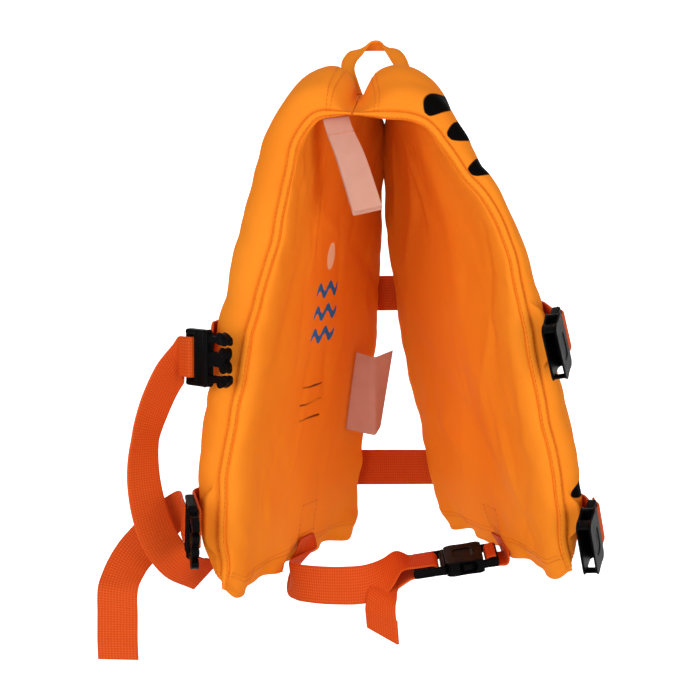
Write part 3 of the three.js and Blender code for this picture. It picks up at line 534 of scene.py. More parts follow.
# %% Seams, hem and corners
SEAM_HALF = 2.75
HINGE_HALF = 1.2
HINGE_ROUND = 22
HINGE_FLANGE = 4
HEM_HALF = 1.5
HEM_TOP_HALF = 4.5
HEM_HEIGHT = 14
HEM_START = 6
HEM_ROUND = 44
PAD_ROUND = 18
CORNER_REACH = 15
LEAN_REACH = 50
LEAN_HEIGHT = 45
RUFFLES = [
    {"wave": 66, "turn": 0.6, "depth": 2.0, "drop": 0.8},
    {"wave": 41, "turn": 1.4, "depth": 0.9, "drop": 0.7},
]
RUFFLE_FADE = 30
SEAM_WANDERS = [
    {"wave": 97, "turn": 0.4, "depth": 0.6},
    {"wave": 41, "turn": 2.0, "depth": 0.35},
    {"wave": 23, "turn": 1.1, "depth": 0.15},
]
WANDER_REACH = 26
WANDER_TURN = 40
WANDER_TOP = 30
FAR_CLOSE = {"by": 2.0, "reach": 40, "levels": (-105, -60), "fade": 8}


def soft_middle(panel, across, length, row, from_top, normal):
    """The middle layer with its ruffled hem, wandering seams, leaning corners and closed far edge."""
    in_side = (1 - abs(across)) * panel.value("half_width", row)
    along_hem = across * panel.levels["half_width"][0]
    low = 1 - smooth_step(0, RUFFLE_FADE, length)
    ruffle = waves(along_hem, RUFFLES, "depth") * low
    wander = waves(length + WANDER_TURN * panel.outward * np.sign(across), SEAM_WANDERS, "depth")
    wander *= (1 - smooth_step(0, WANDER_REACH, in_side)) * smooth_step(0, WANDER_TOP, from_top) * (1 - low)
    lowest = 1 - smooth_step(0, LEAN_HEIGHT, length)
    lean = panel.corner["lean"] * (1 - smooth_step(0, LEAN_REACH, in_side)) * lowest
    lift = panel.corner["lift"] * (1 - smooth_step(0, CORNER_REACH, in_side)) * lowest
    middle = panel.middle(np.full_like(row, across), row) + normal * (ruffle + wander - lean)[:, None]
    if across > 0:
        closing = 1 - smooth_step(0, FAR_CLOSE["reach"], in_side)
        closing *= smooth_step(0, FAR_CLOSE["fade"], from_top)
        closing *= smooth_step(*FAR_CLOSE["levels"], middle[:, 2])
        middle[:, 0] -= panel.outward * FAR_CLOSE["by"] * closing
    middle[:, 2] += lift + waves(along_hem, RUFFLES, "drop") * (1 - smooth_step(0, HEM_HEIGHT, length))
    return middle


print("the hem tapers from", 2 * HEM_TOP_HALF, "to", 2 * HEM_HALF, "mm")

# %% Pressed in by creases
CREASE_FADE = (0.15, 0.85)
CREASE_SHARPNESS = 2


def crease_depth(panel, creases, across, height, sharpness):
    """How far creases press a face in, at places given by across and height."""
    half = panel.levels["half_width"].max()
    place = np.stack([across * half, height], axis=-1)
    depth = np.zeros(across.shape)
    for crease in creases:
        start = np.array([crease["across_a"] * half, crease["height_a"]])
        run = np.array([crease["across_b"] * half, crease["height_b"]]) - start
        share = np.clip(((place - start) @ run) / (run @ run), 0, 1)
        away = np.linalg.norm(place - start - share[..., None] * run, axis=-1) / crease["reach"]
        depth += crease["depth"] * np.sin(np.pi * mix(*CREASE_FADE, share)) * np.exp(-(away**sharpness))
    return depth


chest = (np.zeros(1), np.array([-200.0]))
chest_press = crease_depth(front_panel, front_panel.creases, *chest, CREASE_SHARPNESS)
print("creases press the chest in by", chest_press[0].round(2), "mm")

# %% Both faces of a pad
FOLD_SHARPNESS = 1.2


def layers(panel, across, length, folded=False):
    """Middle, outer and inner points at lengths up one column, and the way out of the padding."""
    rows, lengths = panel.column(across)
    row = np.interp(length, lengths, rows)
    sides = np.full_like(row, across)
    from_top = lengths[-1] - length
    shoulder = smooth_step(NECK_INNER, NECK_OUTER, abs(across))
    hinge = (shoulder > 1 - STEP) & (from_top < STEP)
    normal = np.where(hinge[:, None], np.array([0, 0, 1.0]), panel.normal(sides, row))
    middle = soft_middle(panel, across, length, row, from_top, normal)
    in_side = (1 - abs(across)) * panel.value("half_width", row)
    flange = HINGE_FLANGE * shoulder
    full = round_off(in_side, PAD_ROUND) * round_off(length - HEM_START, HEM_ROUND)
    full *= round_off(from_top - flange, mix(PAD_ROUND, HINGE_ROUND, shoulder))
    taper = shoulder * (1 - smooth_step(flange, flange + PAD_ROUND, from_top))
    seam = mix(SEAM_HALF, HINGE_HALF, taper)
    hem = mix(SEAM_HALF, HEM_TOP_HALF, smooth_step(0, PAD_ROUND, in_side))
    hem = mix(HEM_HALF, hem, smooth_step(0, HEM_HEIGHT, length))
    edge = mix(hem, seam, smooth_step(HEM_HEIGHT, 2 * HEM_HEIGHT, length))
    outer = mix(edge, panel.value("outer", row), full)
    inner = mix(edge, panel.value("inner", row), full)
    height = middle[:, 2]
    pressed = {"outer": 0, "inner": crease_depth(panel, panel.creases, sides, height, CREASE_SHARPNESS)}
    if folded:
        for face, folds in panel.folds.items():
            pressed[face] = pressed[face] + crease_depth(panel, folds, sides, height, FOLD_SHARPNESS)
    return {
        "middle": middle,
        "normal": normal,
        "hinge": hinge,
        "full": full,
        "outer": middle + normal * (outer - pressed["outer"] * full)[:, None],
        "inner": middle + normal * (pressed["inner"] * full - inner)[:, None],
        "length": length,
    }


chest = layers(front_panel, 0.0, np.array([150.0]))
print("front pad is", np.linalg.norm(chest["outer"] - chest["inner"]).round(1), "mm thick at the chest")

# %% [markdown]
# The cover's mesh is a grid of about 4 mm on each face, closer at the edges, joined round the rim by the
# welt: the narrow proud strip that closes the pad's edge, with a row of stitches along each of its sides.
# A grid has an advantage over a remeshed block here, because the seam, the welt and the ruffled hem stay
# crisp, and each vertex knows how far across and up the cloth it lies.

# %% Cover grid
EDGE_INSETS = [0, 0.5, 1.4, 3, 5.5, 9, 13, 15.5, 18]
HEM_INSETS = [0, 0.5, 3.5, 7, 10.5, 13.4, 14, 14.6, 16, 18.5, 22, 26, 31]
GRID_PITCH = 4.2
MIDDLE_ROWS = 66
SLACK = 0.05


def cover_stations():
    """Places across a panel, closer at its seams."""
    steps = round((NOMINAL_HALF - EDGE_INSETS[-1]) / GRID_PITCH)
    inner = np.linspace(EDGE_INSETS[-1], NOMINAL_HALF, steps + 1)
    near = np.concatenate([EDGE_INSETS, inner[1:]]) / NOMINAL_HALF - 1
    return np.concatenate([near, -near[-2::-1]])


def cover_lengths(total):
    """Lengths up a column of the cover, closer at its hem and its top."""
    between = np.linspace(HEM_INSETS[-1], total - EDGE_INSETS[-1], MIDDLE_ROWS + 2)[1:-1]
    return np.concatenate([HEM_INSETS, between, total - np.array(EDGE_INSETS[::-1])])


def cover_grid(panel):
    """Both faces of a cover, a little slack, with each point's distance across the cloth."""
    parts = []
    for across in cover_stations():
        length = cover_lengths(panel.column(across)[1][-1])
        parts.append(layers(panel, across, length, folded=True))
    grid = {key: np.stack([part[key] for part in parts]) for key in parts[0]}
    slack = (SLACK * grid["full"])[..., None]
    for face in ("outer", "inner"):
        grid[face] = mix(grid[face], grid["middle"], slack)
        arc = run_lengths(grid[face])
        grid[f"{face}_wide"] = arc - arc[len(arc) // 2]
        grid[f"{face}_rim"] = np.minimum(arc, arc[-1] - arc)
    return grid


print(len(cover_stations()), "by", len(cover_lengths(NOMINAL_HALF)), "points on each face of a cover")


# %% Values on a mesh, and its rim
def set_values(mesh, name, values):
    """One number for each vertex, as an attribute that materials and node trees can read."""
    attribute = mesh.attributes.get(name) or mesh.attributes.new(name, "FLOAT", "POINT")
    attribute.data.foreach_set("value", np.asarray(values, np.float32))


def set_uv(mesh, places_mm):
    """A UV map in metres of cloth, from one place for each vertex."""
    corners = np.zeros(len(mesh.loops), np.int32)
    mesh.loops.foreach_get("vertex_index", corners)
    layer = mesh.uv_layers.new(name="cloth")
    layer.data.foreach_set("uv", (np.asarray(places_mm)[corners] * MM).ravel())


def rim_places(columns, rows):
    """The places round the edge of a grid, once round from its first corner."""
    right = columns - 1
    top = rows - 1
    hem = [(i, 0) for i in range(columns)]
    far = [(right, j) for j in range(1, rows)]
    neck = [(i, top) for i in range(right - 1, -1, -1)]
    near = [(0, j) for j in range(top - 1, 0, -1)]
    return hem + far + neck + near


print(len(rim_places(len(cover_stations()), len(cover_lengths(NOMINAL_HALF)))), "places round a rim")

# %% Cover mesh
# How far each row of the welt lies from the middle layer, and how far out it stands.
WELT_SHARES = [0.94, 0.82, 0.64, 0.34, -0.34, -0.64, -0.82, -0.94]
WELT_RISES = [-1.5, 0.4, 1.7, 2.3, 2.3, 1.7, 0.4, -1.5]
FLAT_RISE = 0.15


def cover_mesh(name, panel):
    """The closed cover, its sewn vertices, and the welt's rows of points."""
    grid = cover_grid(panel)
    columns, rows = grid["full"].shape
    faces = []

    def quad(*corners):
        faces.append(corners if panel.outward > 0 else corners[::-1])

    count = columns * rows
    outer = np.arange(count).reshape(columns, rows)
    inner = outer + count
    for i in range(columns - 1):
        for j in range(rows - 1):
            quad(outer[i, j], outer[i + 1, j], outer[i + 1, j + 1], outer[i, j + 1])
            quad(inner[i, j], inner[i, j + 1], inner[i + 1, j + 1], inner[i + 1, j])
    points = [grid["outer"].reshape(-1, 3), grid["inner"].reshape(-1, 3)]
    wide = [grid["outer_wide"].ravel(), grid["inner_wide"].ravel()]
    length = [grid["length"].ravel()] * 2
    rim = rim_places(columns, rows)
    ladder = []
    for i, j in rim:
        inside = np.clip(i, 1, columns - 2), np.clip(j, 1, rows - 2)
        way = unit(grid["middle"][i, j] - grid["middle"][inside])
        rise = FLAT_RISE if grid["hinge"][i, j] or j == 0 else 1.0
        steps = []
        for share, proud in zip(WELT_SHARES, WELT_RISES):
            side = grid["outer" if share > 0 else "inner"][i, j]
            steps.append(mix(grid["middle"][i, j], side, abs(share)) + way * proud * rise)
        start = 2 * count + len(ladder) * len(WELT_SHARES)
        ladder.append([outer[i, j], *range(start, start + len(WELT_SHARES)), inner[i, j]])
        points.append(np.array(steps))
        wide.append(np.full(len(steps), grid["outer_wide"][i, j]) + np.array(WELT_SHARES) * SEAM_HALF)
        length.append(np.full(len(steps), grid["length"][i, j]))
    for here, after in zip(ladder, ladder[1:] + ladder[:1]):
        for k in range(len(here) - 1):
            quad(here[k], here[k + 1], after[k + 1], after[k])
    cover = add_piece(name, np.concatenate(points), faces, cover_cloth)
    wide = np.concatenate(wide)
    length = np.concatenate(length)
    full = np.concatenate([grid["full"].ravel()] * 2 + [np.zeros(len(rim) * len(WELT_SHARES))])
    in_rim = np.zeros(len(rim) * len(WELT_SHARES))
    side = np.concatenate([np.ones(count), -np.ones(count), in_rim])
    from_rim = np.concatenate([grid["outer_rim"].ravel(), grid["inner_rim"].ravel(), in_rim])
    known = {"wide": wide, "length": length, "side": side, "from_rim": from_rim}
    for key, values in known.items():
        set_values(cover.data, key, values)
    set_uv(cover.data, np.stack([wide, length], axis=1))
    welt = {"points": np.array(points[2:]), "places": rim, "shape": (columns, rows), "hinge": grid["hinge"]}
    return cover, full, welt


front_cover, front_full, front_welt = cover_mesh("front_cover", front_panel)
back_cover, back_full, back_welt = cover_mesh("back_cover", back_panel)
for cover in (front_cover, back_cover):
    print(cover.name, len(cover.data.vertices), "vertices before the air goes in")

# %% [markdown]
# A sewn pad is never quite smooth: the cover is cut a little larger than the foam, and the seam gathers it
# into small puckers. Blender's Cloth makes these by itself. The cover starts a little slack and with some
# spare cloth, the seam and hem are pinned, and a light pressure fills it for twenty frames without gravity.
# How far a point may move is capped, so that the pad keeps its shape and its neighbours stay clear.


# %% Points of a mesh
def keep_result(piece):
    """Replaces a piece's mesh by what its modifiers make of it."""
    graph = bpy.context.evaluated_depsgraph_get()
    evaluated = piece.evaluated_get(graph)
    mesh = bpy.data.meshes.new_from_object(evaluated, preserve_all_data_layers=True, depsgraph=graph)
    piece.modifiers.clear()
    piece.data = mesh


def points_of(mesh):
    """A mesh's vertices in millimetres."""
    flat = np.zeros(3 * len(mesh.vertices))
    mesh.vertices.foreach_get("co", flat)
    return flat.reshape(-1, 3) / MM


def set_points(mesh, points_mm):
    mesh.vertices.foreach_set("co", (np.asarray(points_mm) * MM).ravel())
    mesh.update()


print("front cover's lowest point:", points_of(front_cover.data)[:, 2].min().round(1), "mm")

# %% Fill the covers
FILL_FRAMES = 20
FILL_PRESSURE = 2.5
CLOTH_QUALITY = 5
SPARE_CLOTH = 0.008
SEWN_PIN = 1.0
PAD_PIN = 0.25
SEWN_BELOW = 0.02
EVEN_PASSES = 3
MOVE_CAP_MM = 4.0


def even_out(moved, shape):
    """Takes the finest wrinkles out of how far each face's points moved."""
    count = shape[0] * shape[1]
    for start in (0, count):
        field = moved[start : start + count].reshape(*shape, 3)
        for _ in range(EVEN_PASSES):
            field[1:-1] = (field[:-2] + 2 * field[1:-1] + field[2:]) / 4
            field[:, 1:-1] = (field[:, :-2] + 2 * field[:, 1:-1] + field[:, 2:]) / 4


def fill_cover(cover, full, shape):
    start = points_of(cover.data)
    sewn = cover.vertex_groups.new(name="sewn")
    weights = np.where(full < SEWN_BELOW, SEWN_PIN, PAD_PIN)
    for weight in (SEWN_PIN, PAD_PIN):
        sewn.add(np.flatnonzero(weights == weight).tolist(), weight, "REPLACE")
    cloth = cover.modifiers.new("Fill", "CLOTH")
    cloth.settings.quality = CLOTH_QUALITY
    cloth.settings.vertex_group_mass = "sewn"
    cloth.settings.use_pressure = True
    cloth.settings.uniform_pressure_force = FILL_PRESSURE
    cloth.settings.shrink_min = -SPARE_CLOTH
    cloth.settings.effector_weights.gravity = 0
    cloth.collision_settings.use_collision = False
    cloth.point_cache.frame_start = 1
    cloth.point_cache.frame_end = FILL_FRAMES
    for step in range(1, FILL_FRAMES + 1):
        bpy.context.scene.frame_set(step)
    keep_result(cover)
    bpy.context.scene.frame_set(1)
    moved = points_of(cover.data) - start
    distance = np.linalg.norm(moved, axis=1)
    print(cover.name, "moved up to", distance.max().round(2), "mm, mean", distance.mean().round(2))
    moved *= np.minimum(1, MOVE_CAP_MM / np.maximum(distance, STEP))[:, None]
    even_out(moved, shape)
    set_points(cover.data, start + moved)


fill_cover(front_cover, front_full, front_welt["shape"])
fill_cover(back_cover, back_full, back_welt["shape"])

# %% [markdown]
# The buckles and the webbing share a few seats: the place and direction of each buckle half, as in the CAD
# model. Webbing goes round the bars of a buckle by a short route, given in the buckle's own directions:
# how far along it, and how far out from its mid plane.

# %% Buckle seats
GAP = 0.4
MALE_FRAME_LENGTH = 22
FEMALE_LENGTH = 34
# Where each half is, and the directions of its length and of its width.
BUCKLE_SEATS = {
    "upper_male": ((-115, -112, -189), (0.64, -0.77, 0), (0, 0, 1)),
    "lower_male": ((-114.5, -124, -288), (0.16, -0.95, -0.25), (0, 0, 1)),
    "upper_female": ((112.5, -121, -172), (-0.2, -0.9, -0.38), (-0.15, 0, 0.98)),
    "lower_female": ((134.5, -121, -289.5), (-0.24, -0.88, -0.4), (-0.08, 0, 0.98)),
    "crotch_male": ((25, -20, -336.6), (0.988, 0, 0.156), (0, 0.985, 0.17)),
}


def seat_matrix(at, along, across):
    """A buckle's own directions: x along its length, y along its width, z out of its upper face."""
    length = unit(np.array(along, float))
    width = np.array(across, float)
    width = unit(width - (width @ length) * length)
    seat = np.eye(4)
    seat[:3, 0] = length
    seat[:3, 1] = width
    seat[:3, 2] = np.cross(length, width)
    seat[:3, 3] = at
    return seat


seats = {name: seat_matrix(*row) for name, row in BUCKLE_SEATS.items()}
facing = np.diag([-1.0, 1, -1, 1])
facing[0, 3] = MALE_FRAME_LENGTH + GAP + FEMALE_LENGTH
seats["crotch_female"] = seats["crotch_male"] @ facing
print(len(seats), "buckle halves")

# %% Webbing routes
WEBBING_THICKNESS = 1.6
BAR_HALF = 2.2
WEBBING_OUT = BAR_HALF + GAP + WEBBING_THICKNESS / 2
MALE_ROUTE = [
    (16.5, -5.2),
    (13, -4.4),
    (10.4, -4),
    (8.6, -3.4),
    (7.4, -1.6),
    (7.2, 0.4),
    (6.8, 2.2),
    (5.6, 3.3),
    (3.6, WEBBING_OUT),
    (0, WEBBING_OUT),
    (-4.5, WEBBING_OUT + 0.2),
]
CROTCH_MALE_ROUTE = [
    (-2, WEBBING_OUT + 0.4),
    (2, WEBBING_OUT),
    (11.5, WEBBING_OUT),
    (14.6, 3.1),
    (16.5, 1.2),
    (16.5, -1.2),
    (14.6, -3.1),
    (11.5, -WEBBING_OUT),
    (2, -WEBBING_OUT),
    (-2, -WEBBING_OUT - 0.3),
]
FEMALE_ROUTE = [
    (-7.6, 1),
    (-5.2, 0.4),
    (-2.6, -1.3),
    (-0.8, -3.1),
    (1.5, -WEBBING_OUT),
    (5, -WEBBING_OUT),
    (7.6, -2.7),
    (8.2, 0),
    (7.6, 2.7),
    (5, WEBBING_OUT),
    (0, WEBBING_OUT),
    (-5, WEBBING_OUT + 0.2),
]
# The crotch strap's short side goes round the same bar, but has no sewn end there.
CROTCH_FEMALE_ROUTE = FEMALE_ROUTE[-2:3:-1]


def threaded(seat, route):
    """Stations of webbing from places in a buckle: points of its middle line, and its width's direction."""
    points = [(seat @ (along, 0, out, 1))[:3] for along, out in route]
    return np.array(points), np.tile(seat[:3, 1], (len(route), 1))


print(len(FEMALE_ROUTE), "places on the way round a socket half's bar")

# %% [markdown]
# A belt's free tail falls as the photograph shows it. Each row of these tables is a place that the tape's
# middle line passes through, and the direction of the tape's width there, so the tape can twist on its way.
# A smooth curve through the places, the centripetal Catmull-Rom curve, neither loops nor overshoots.

# %% Free webbing
UPPER_TAIL = [
    ((-121, -107, -193), (-0.25, -0.25, 0.93)),
    ((-128, -108, -203), (-0.5, -0.5, 0.7)),
    ((-136, -112, -220.5), (-0.6, -0.65, 0.46)),
    ((-141.5, -116, -240), (-0.6, -0.78, 0.1)),
    ((-142.5, -120, -259.5), (-0.72, -0.68, 0)),
    ((-139.5, -122, -280), (-0.8, -0.58, -0.14)),
    ((-132.5, -123, -300.5), (-0.84, -0.46, -0.25)),
    ((-121.5, -112, -318), (-0.78, -0.42, -0.42)),
    ((-106.5, -87, -329.5), (-0.62, -0.46, -0.62)),
]
LOWER_TAIL = [
    ((-120.5, -107, -285), (-0.1, -0.05, 0.98)),
    ((-126, -100, -289), (-0.25, -0.1, 0.95)),
    ((-133.5, -99, -295.5), (-0.4, 0, 0.9)),
    ((-143, -102, -305.5), (-0.6, 0.1, 0.8)),
    ((-151.5, -106, -315.5), (-0.8, 0.25, 0.55)),
    ((-157.5, -114, -327), (-0.96, 0.2, 0.2)),
    ((-159, -118, -333.5), (-0.99, 0.05, 0.14)),
    ((-159, -119.5, -348), (-1, 0, 0.05)),
    ((-159, -121, -364), (-1, 0, 0)),
    ((-158.5, -122, -375.5), (-1, 0, 0.02)),
]
CROTCH_FRONT_LEAD = [
    ((-46.5, 8, -333.5), (0.66, 0.7, 0.25)),
    ((-53.5, -8, -343), (0.3, 0.35, 0.88)),
    ((-54, -20, -345.5), (-0.15, 0, 0.98)),
    ((-44, -29, -346), (-0.1, 0, 1)),
    ((-24, -33, -346.5), (0, 0, 1)),
    ((-5, -34, -345), (-0.05, 0.25, 0.97)),
    ((7, -31, -340), (-0.2, 0.65, 0.73)),
    ((16, -25, -332), (-0.12, 0.92, 0.38)),
]
CROTCH_FRONT_TAIL = [
    ((17, -25, -343.5), (0.15, 0.93, 0.34)),
    ((10, -34, -347.5), (-0.35, 0.8, 0.5)),
    ((5, -42, -353), (-0.68, 0.55, 0.48)),
    ((4, -45, -363), (-0.8, 0.5, 0.3)),
    ((5, -46, -377), (-0.8, 0.48, 0.36)),
]
CROTCH_BACK_LEAD = [
    ((84.6, -11, -323.5), (-0.24, 0.96, 0.1)),
    ((85.6, -17, -331), (-0.1, 0.98, 0.17)),
]
print(len(UPPER_TAIL) + len(LOWER_TAIL), "places on the two belts' tails")

# %% Smooth curves
CURVE_STEPS = 10


def stations(table):
    """A table's points and unit width directions."""
    points, across = (np.array(column, float) for column in zip(*table))
    return points, unit(across)


def joined(*runs):
    return tuple(np.concatenate(parts) for parts in zip(*runs))


def smoothed(points, across):
    """Stations on a centripetal Catmull-Rom curve through the given ones."""
    framed = np.concatenate([[2 * points[0] - points[1]], points, [2 * points[-1] - points[-2]]])
    share = np.linspace(0, 1, CURVE_STEPS, endpoint=False)[:, None]
    curve = []
    width = []
    for i in range(len(points) - 1):
        a, b, c, d = framed[i : i + 4]
        before, span, after = np.sqrt(np.linalg.norm([b - a, c - b, d - c], axis=1))
        leave = ((b - a) / before - (c - a) / (before + span) + (c - b) / span) * span
        arrive = ((c - b) / span - (d - b) / (span + after) + (d - c) / after) * span
        curve.append(curved(b, c, leave, arrive, share))
        width.append(mix(across[i], across[i + 1], share))
    return np.concatenate(curve + [points[-1:]]), unit(np.concatenate(width + [across[-1:]]))


print("upper tail:", len(smoothed(*stations(UPPER_TAIL))[0]), "stations")

# %% [markdown]
# Each belt is one tape: from its sewn end round the socket half's bar, round the outside of the back panel,
# across the far gap, round the front panel, through the prong half and out as a free tail. The crotch strap
# is two shorter tapes. The tapes lie a hair's breadth off the covers, in the CAD belts' own places.

# %% Places on a face
WEBBING_WIDTH = 25
HEIGHT_SAMPLES = 400
BELT_TOP_ROW = 6


def on_face(panel, face, across, height, reach=WEBBING_WIDTH / 2):
    """A place on a face at a given height, the way out of the face, and the way up along it."""
    rows, lengths = panel.column(across)
    top = np.interp(min(BELT_TOP_ROW, panel.top_row(across)), rows, lengths)
    tried = np.linspace(0, top, HEIGHT_SAMPLES)
    low = np.interp(height, layers(panel, across, tried)["middle"][:, 2], tried)
    below, at, above = layers(panel, across, np.array([max(low - reach, 0), low, low + reach]))[face]
    up = unit(above - below)
    beside = [np.clip(across + step, -1, 1) for step in (-STEP, STEP)]
    near, far = (layers(panel, place, np.array([low]))[face][0] for place in beside)
    out = unit(np.cross(far - near, up)) * (panel.outward if face == "outer" else -panel.outward)
    return at, out, up


print("front panel's outside at its middle:", on_face(front_panel, "outer", 0.0, -200)[0].round(1))

# %% Belts on the panels
BELT_GAP = 0.7
SEAM_PROUD = 1.5
BELTS = {
    "upper": {"far": -167, "front": -186, "back": -172, "tail": UPPER_TAIL},
    "lower": {"far": -292, "front": -286, "back": -291, "tail": LOWER_TAIL},
}
FRONT_LEAVE = -0.91
BACK_LEAVE = -0.85
BELT_SLOPE = (-0.9, 0.6)
BELT_INSETS = np.concatenate([[0.012, 0.03, 0.05, 0.075], np.arange(0.1, 2, 0.04)])


def belt_on_panel(panel, far, near, leave):
    """Stations on a panel's outer face, from the far seam to where the belt leaves for its buckle."""
    lift = BELT_GAP + WEBBING_THICKNESS / 2
    rim, out, up = on_face(panel, "outer", 1, far)
    points = [rim + (0, SEAM_PROUD + 2 * lift, 0)]
    across = [up]
    for place in 1 - BELT_INSETS:
        if place > leave:
            height = mix(near, far, smooth_step(*BELT_SLOPE, place))
            at, out, up = on_face(panel, "outer", place, height)
            points.append(at + out * lift)
            across.append(up)
    return np.array(points), np.array(across)


row = BELTS["upper"]
on_back = belt_on_panel(back_panel, row["far"], row["back"], BACK_LEAVE)
print("upper belt has", len(on_back[0]), "stations on the back panel")

# %% Belt and strap routes
FRONT_SEWN = {"across": 0.16, "height": -322, "width": (0.3, 0.95, 0), "gap": BELT_GAP}
BACK_SEWN = {"across": -0.04, "height": -317, "width": (-0.24, 0.97, 0), "gap": GAP}


def belt_stations(name, row):
    back = belt_on_panel(back_panel, row["far"], row["back"], BACK_LEAVE)
    front = belt_on_panel(front_panel, row["far"], row["front"], FRONT_LEAVE)
    socket = threaded(seats[f"{name}_female"], FEMALE_ROUTE)
    prongs = threaded(seats[f"{name}_male"], MALE_ROUTE)
    last = (prongs[0][-1:], prongs[1][-1:])
    tail = tuple(part[1:] for part in smoothed(*joined(last, stations(row["tail"]))))
    return joined(socket, tuple(part[::-1] for part in back), front, prongs, tail)


def sewn_start(panel, across, height, width, gap):
    """Where crotch webbing is sewn to a panel's inner face, clear of it by a gap."""
    at, out, up = on_face(panel, "inner", across, height)
    return np.array([at + out * (gap + WEBBING_THICKNESS / 2)]), unit(np.array([width], float))


tape_stations = {f"{name}_belt": belt_stations(name, row) for name, row in BELTS.items()}
ladder = threaded(seats["crotch_male"], CROTCH_MALE_ROUTE)
start = sewn_start(front_panel, **FRONT_SEWN)
lead = smoothed(*joined(start, stations(CROTCH_FRONT_LEAD), (ladder[0][:1], ladder[1][:1])))
tail = smoothed(*joined((ladder[0][-1:], ladder[1][-1:]), stations(CROTCH_FRONT_TAIL)))
tape_stations["crotch_strap_front"] = joined(lead, tuple(part[1:-1] for part in ladder), tail)
ladder = threaded(seats["crotch_female"], CROTCH_FEMALE_ROUTE)
start = sewn_start(back_panel, **BACK_SEWN)
lead = smoothed(*joined(start, stations(CROTCH_BACK_LEAD), (ladder[0][:1], ladder[1][:1])))
tape_stations["crotch_strap_back"] = joined(lead, tuple(part[1:] for part in ladder))
print(len(tape_stations), "tapes")

# %% [markdown]
# A tape's mesh is a flat section with soft edges, swept along its stations in steps of a quarter rib. A
# node tree then raises the ribs: it moves each point along its normal by a sine of the length along the
# tape. The sine could be drawn as a bump alone, but real ribs also show at the edges and in raking light.
# Where a tail ends, the tape is folded back on itself and sewn, so a second short layer lies on it there.

# %% Sweep a tape
EASE_MM = 1.1
EDGE_RIB = 0.4
# Shares of the half width and of the half thickness, from a tape's edge to its middle.
TAPE_SECTION = [(1, 0), (0.99, 0.5), (0.965, 0.85), (0.92, 1), (0.7, 1), (0.35, 1), (0, 1)]


def tape_path(points, across, pitch):
    """Even steps along a tape, with its corners eased, and the directions of its width and face."""
    length = run_lengths(points)
    even = np.linspace(0, length[-1], round(length[-1] / pitch) + 1)
    both = np.concatenate([points, across], axis=1)
    both = np.stack([np.interp(even, length, column) for column in both.T], axis=1)
    for _ in range(round(2 * (EASE_MM / pitch) ** 2)):
        both[1:-1] = (both[:-2] + 2 * both[1:-1] + both[2:]) / 4
    at = both[:, :3]
    wide = unit(both[:, 3:])
    face = unit(np.cross(np.gradient(at, axis=0), wide))
    return {"at": at, "wide": wide, "face": face, "along": even}


def tape_section():
    """The section's points, once round: shares of the half width and of the half thickness."""
    top = TAPE_SECTION + [(-u, v) for u, v in TAPE_SECTION[-2::-1]]
    bottom = [(-u, -v) for u, v in top[1:-1]]
    return np.array(top + bottom)


def tape_shell(path, width, thickness):
    """Points, faces, cloth places and rib weights of one swept tape."""
    section = tape_section()
    sides = section[:, 0] * width / 2
    out = section[:, 1] * thickness / 2
    at = path["at"][:, None]
    points = at + path["wide"][:, None] * sides[:, None] + path["face"][:, None] * out[:, None]
    rings, around = points.shape[:2]
    index = np.arange(rings * around).reshape(rings, around)
    here = index[:-1]
    after = index[1:]
    beside = np.roll(here, -1, axis=1)
    faces = np.stack([here, beside, np.roll(after, -1, axis=1), after], axis=-1).reshape(-1, 4).tolist()
    faces += [index[0, ::-1].tolist(), index[-1].tolist()]
    wide = np.tile(sides, (rings, 1))
    along = np.tile(path["along"][:, None], (1, around))
    weight = np.tile(np.where(np.abs(section[:, 1]) == 1, 1.0, EDGE_RIB), (rings, 1))
    cloth = np.stack([wide.ravel(), along.ravel()], axis=1)
    return points.reshape(-1, 3), faces, cloth, weight.ravel()


print(len(tape_section()), "points round a tape")

# %% Tapes with folded ends
FOLD_LENGTH_MM = 15
FOLD_LIFT = 0.96
FOLD_WIDTH = 0.985


def part_path(path, start, end, lift):
    """A stretch of a tape's path, lifted off its face."""
    keep = (path["along"] >= start) & (path["along"] <= end)
    stretch = {key: value[keep] for key, value in path.items()}
    stretch["at"] = stretch["at"] + stretch["face"] * lift
    return stretch


def tape_piece(name, path, width, thickness, material, folds=()):
    """A tape with its folded ends; each fold is a stretch and the side of the tape that it lies on."""
    shells = [tape_shell(path, width, thickness)]
    for start, end, side in folds:
        fold = part_path(path, start, end, side * thickness * FOLD_LIFT)
        shells.append(tape_shell(fold, width * FOLD_WIDTH, thickness))
    faces = []
    base = 0
    for shell_points, shell_faces, _, _ in shells:
        faces += [[base + corner for corner in face] for face in shell_faces]
        base += len(shell_points)
    points, _, cloth, rib = zip(*shells)
    piece = add_piece(name, np.concatenate(points), faces, material)
    cloth = np.concatenate(cloth)
    set_values(piece.data, "along", cloth[:, 1])
    set_values(piece.data, "rib", np.concatenate(rib))
    set_uv(piece.data, cloth)
    return piece


print("a folded tail end is", FOLD_LENGTH_MM, "mm long")


# %% Rib tree
def new_tree(name, inputs):
    """An empty Geometry Nodes tree with named inputs, and its input node."""
    tree = bpy.data.node_groups.new(name, "GeometryNodeTree")
    tree.interface.new_socket(name="Geometry", in_out="INPUT", socket_type="NodeSocketGeometry")
    for label, kind in inputs.items():
        tree.interface.new_socket(name=label, in_out="INPUT", socket_type=kind)
    tree.interface.new_socket(name="Geometry", in_out="OUTPUT", socket_type="NodeSocketGeometry")
    return tree, add_node(tree, "NodeGroupInput").outputs


def end_tree(tree, geometry, material):
    realized = add_node(tree, "GeometryNodeRealizeInstances", {0: geometry}).outputs[0]
    dressed = add_node(tree, "GeometryNodeSetMaterial", {"Geometry": realized, "Material": material})
    add_node(tree, "NodeGroupOutput", {0: dressed.outputs[0]})


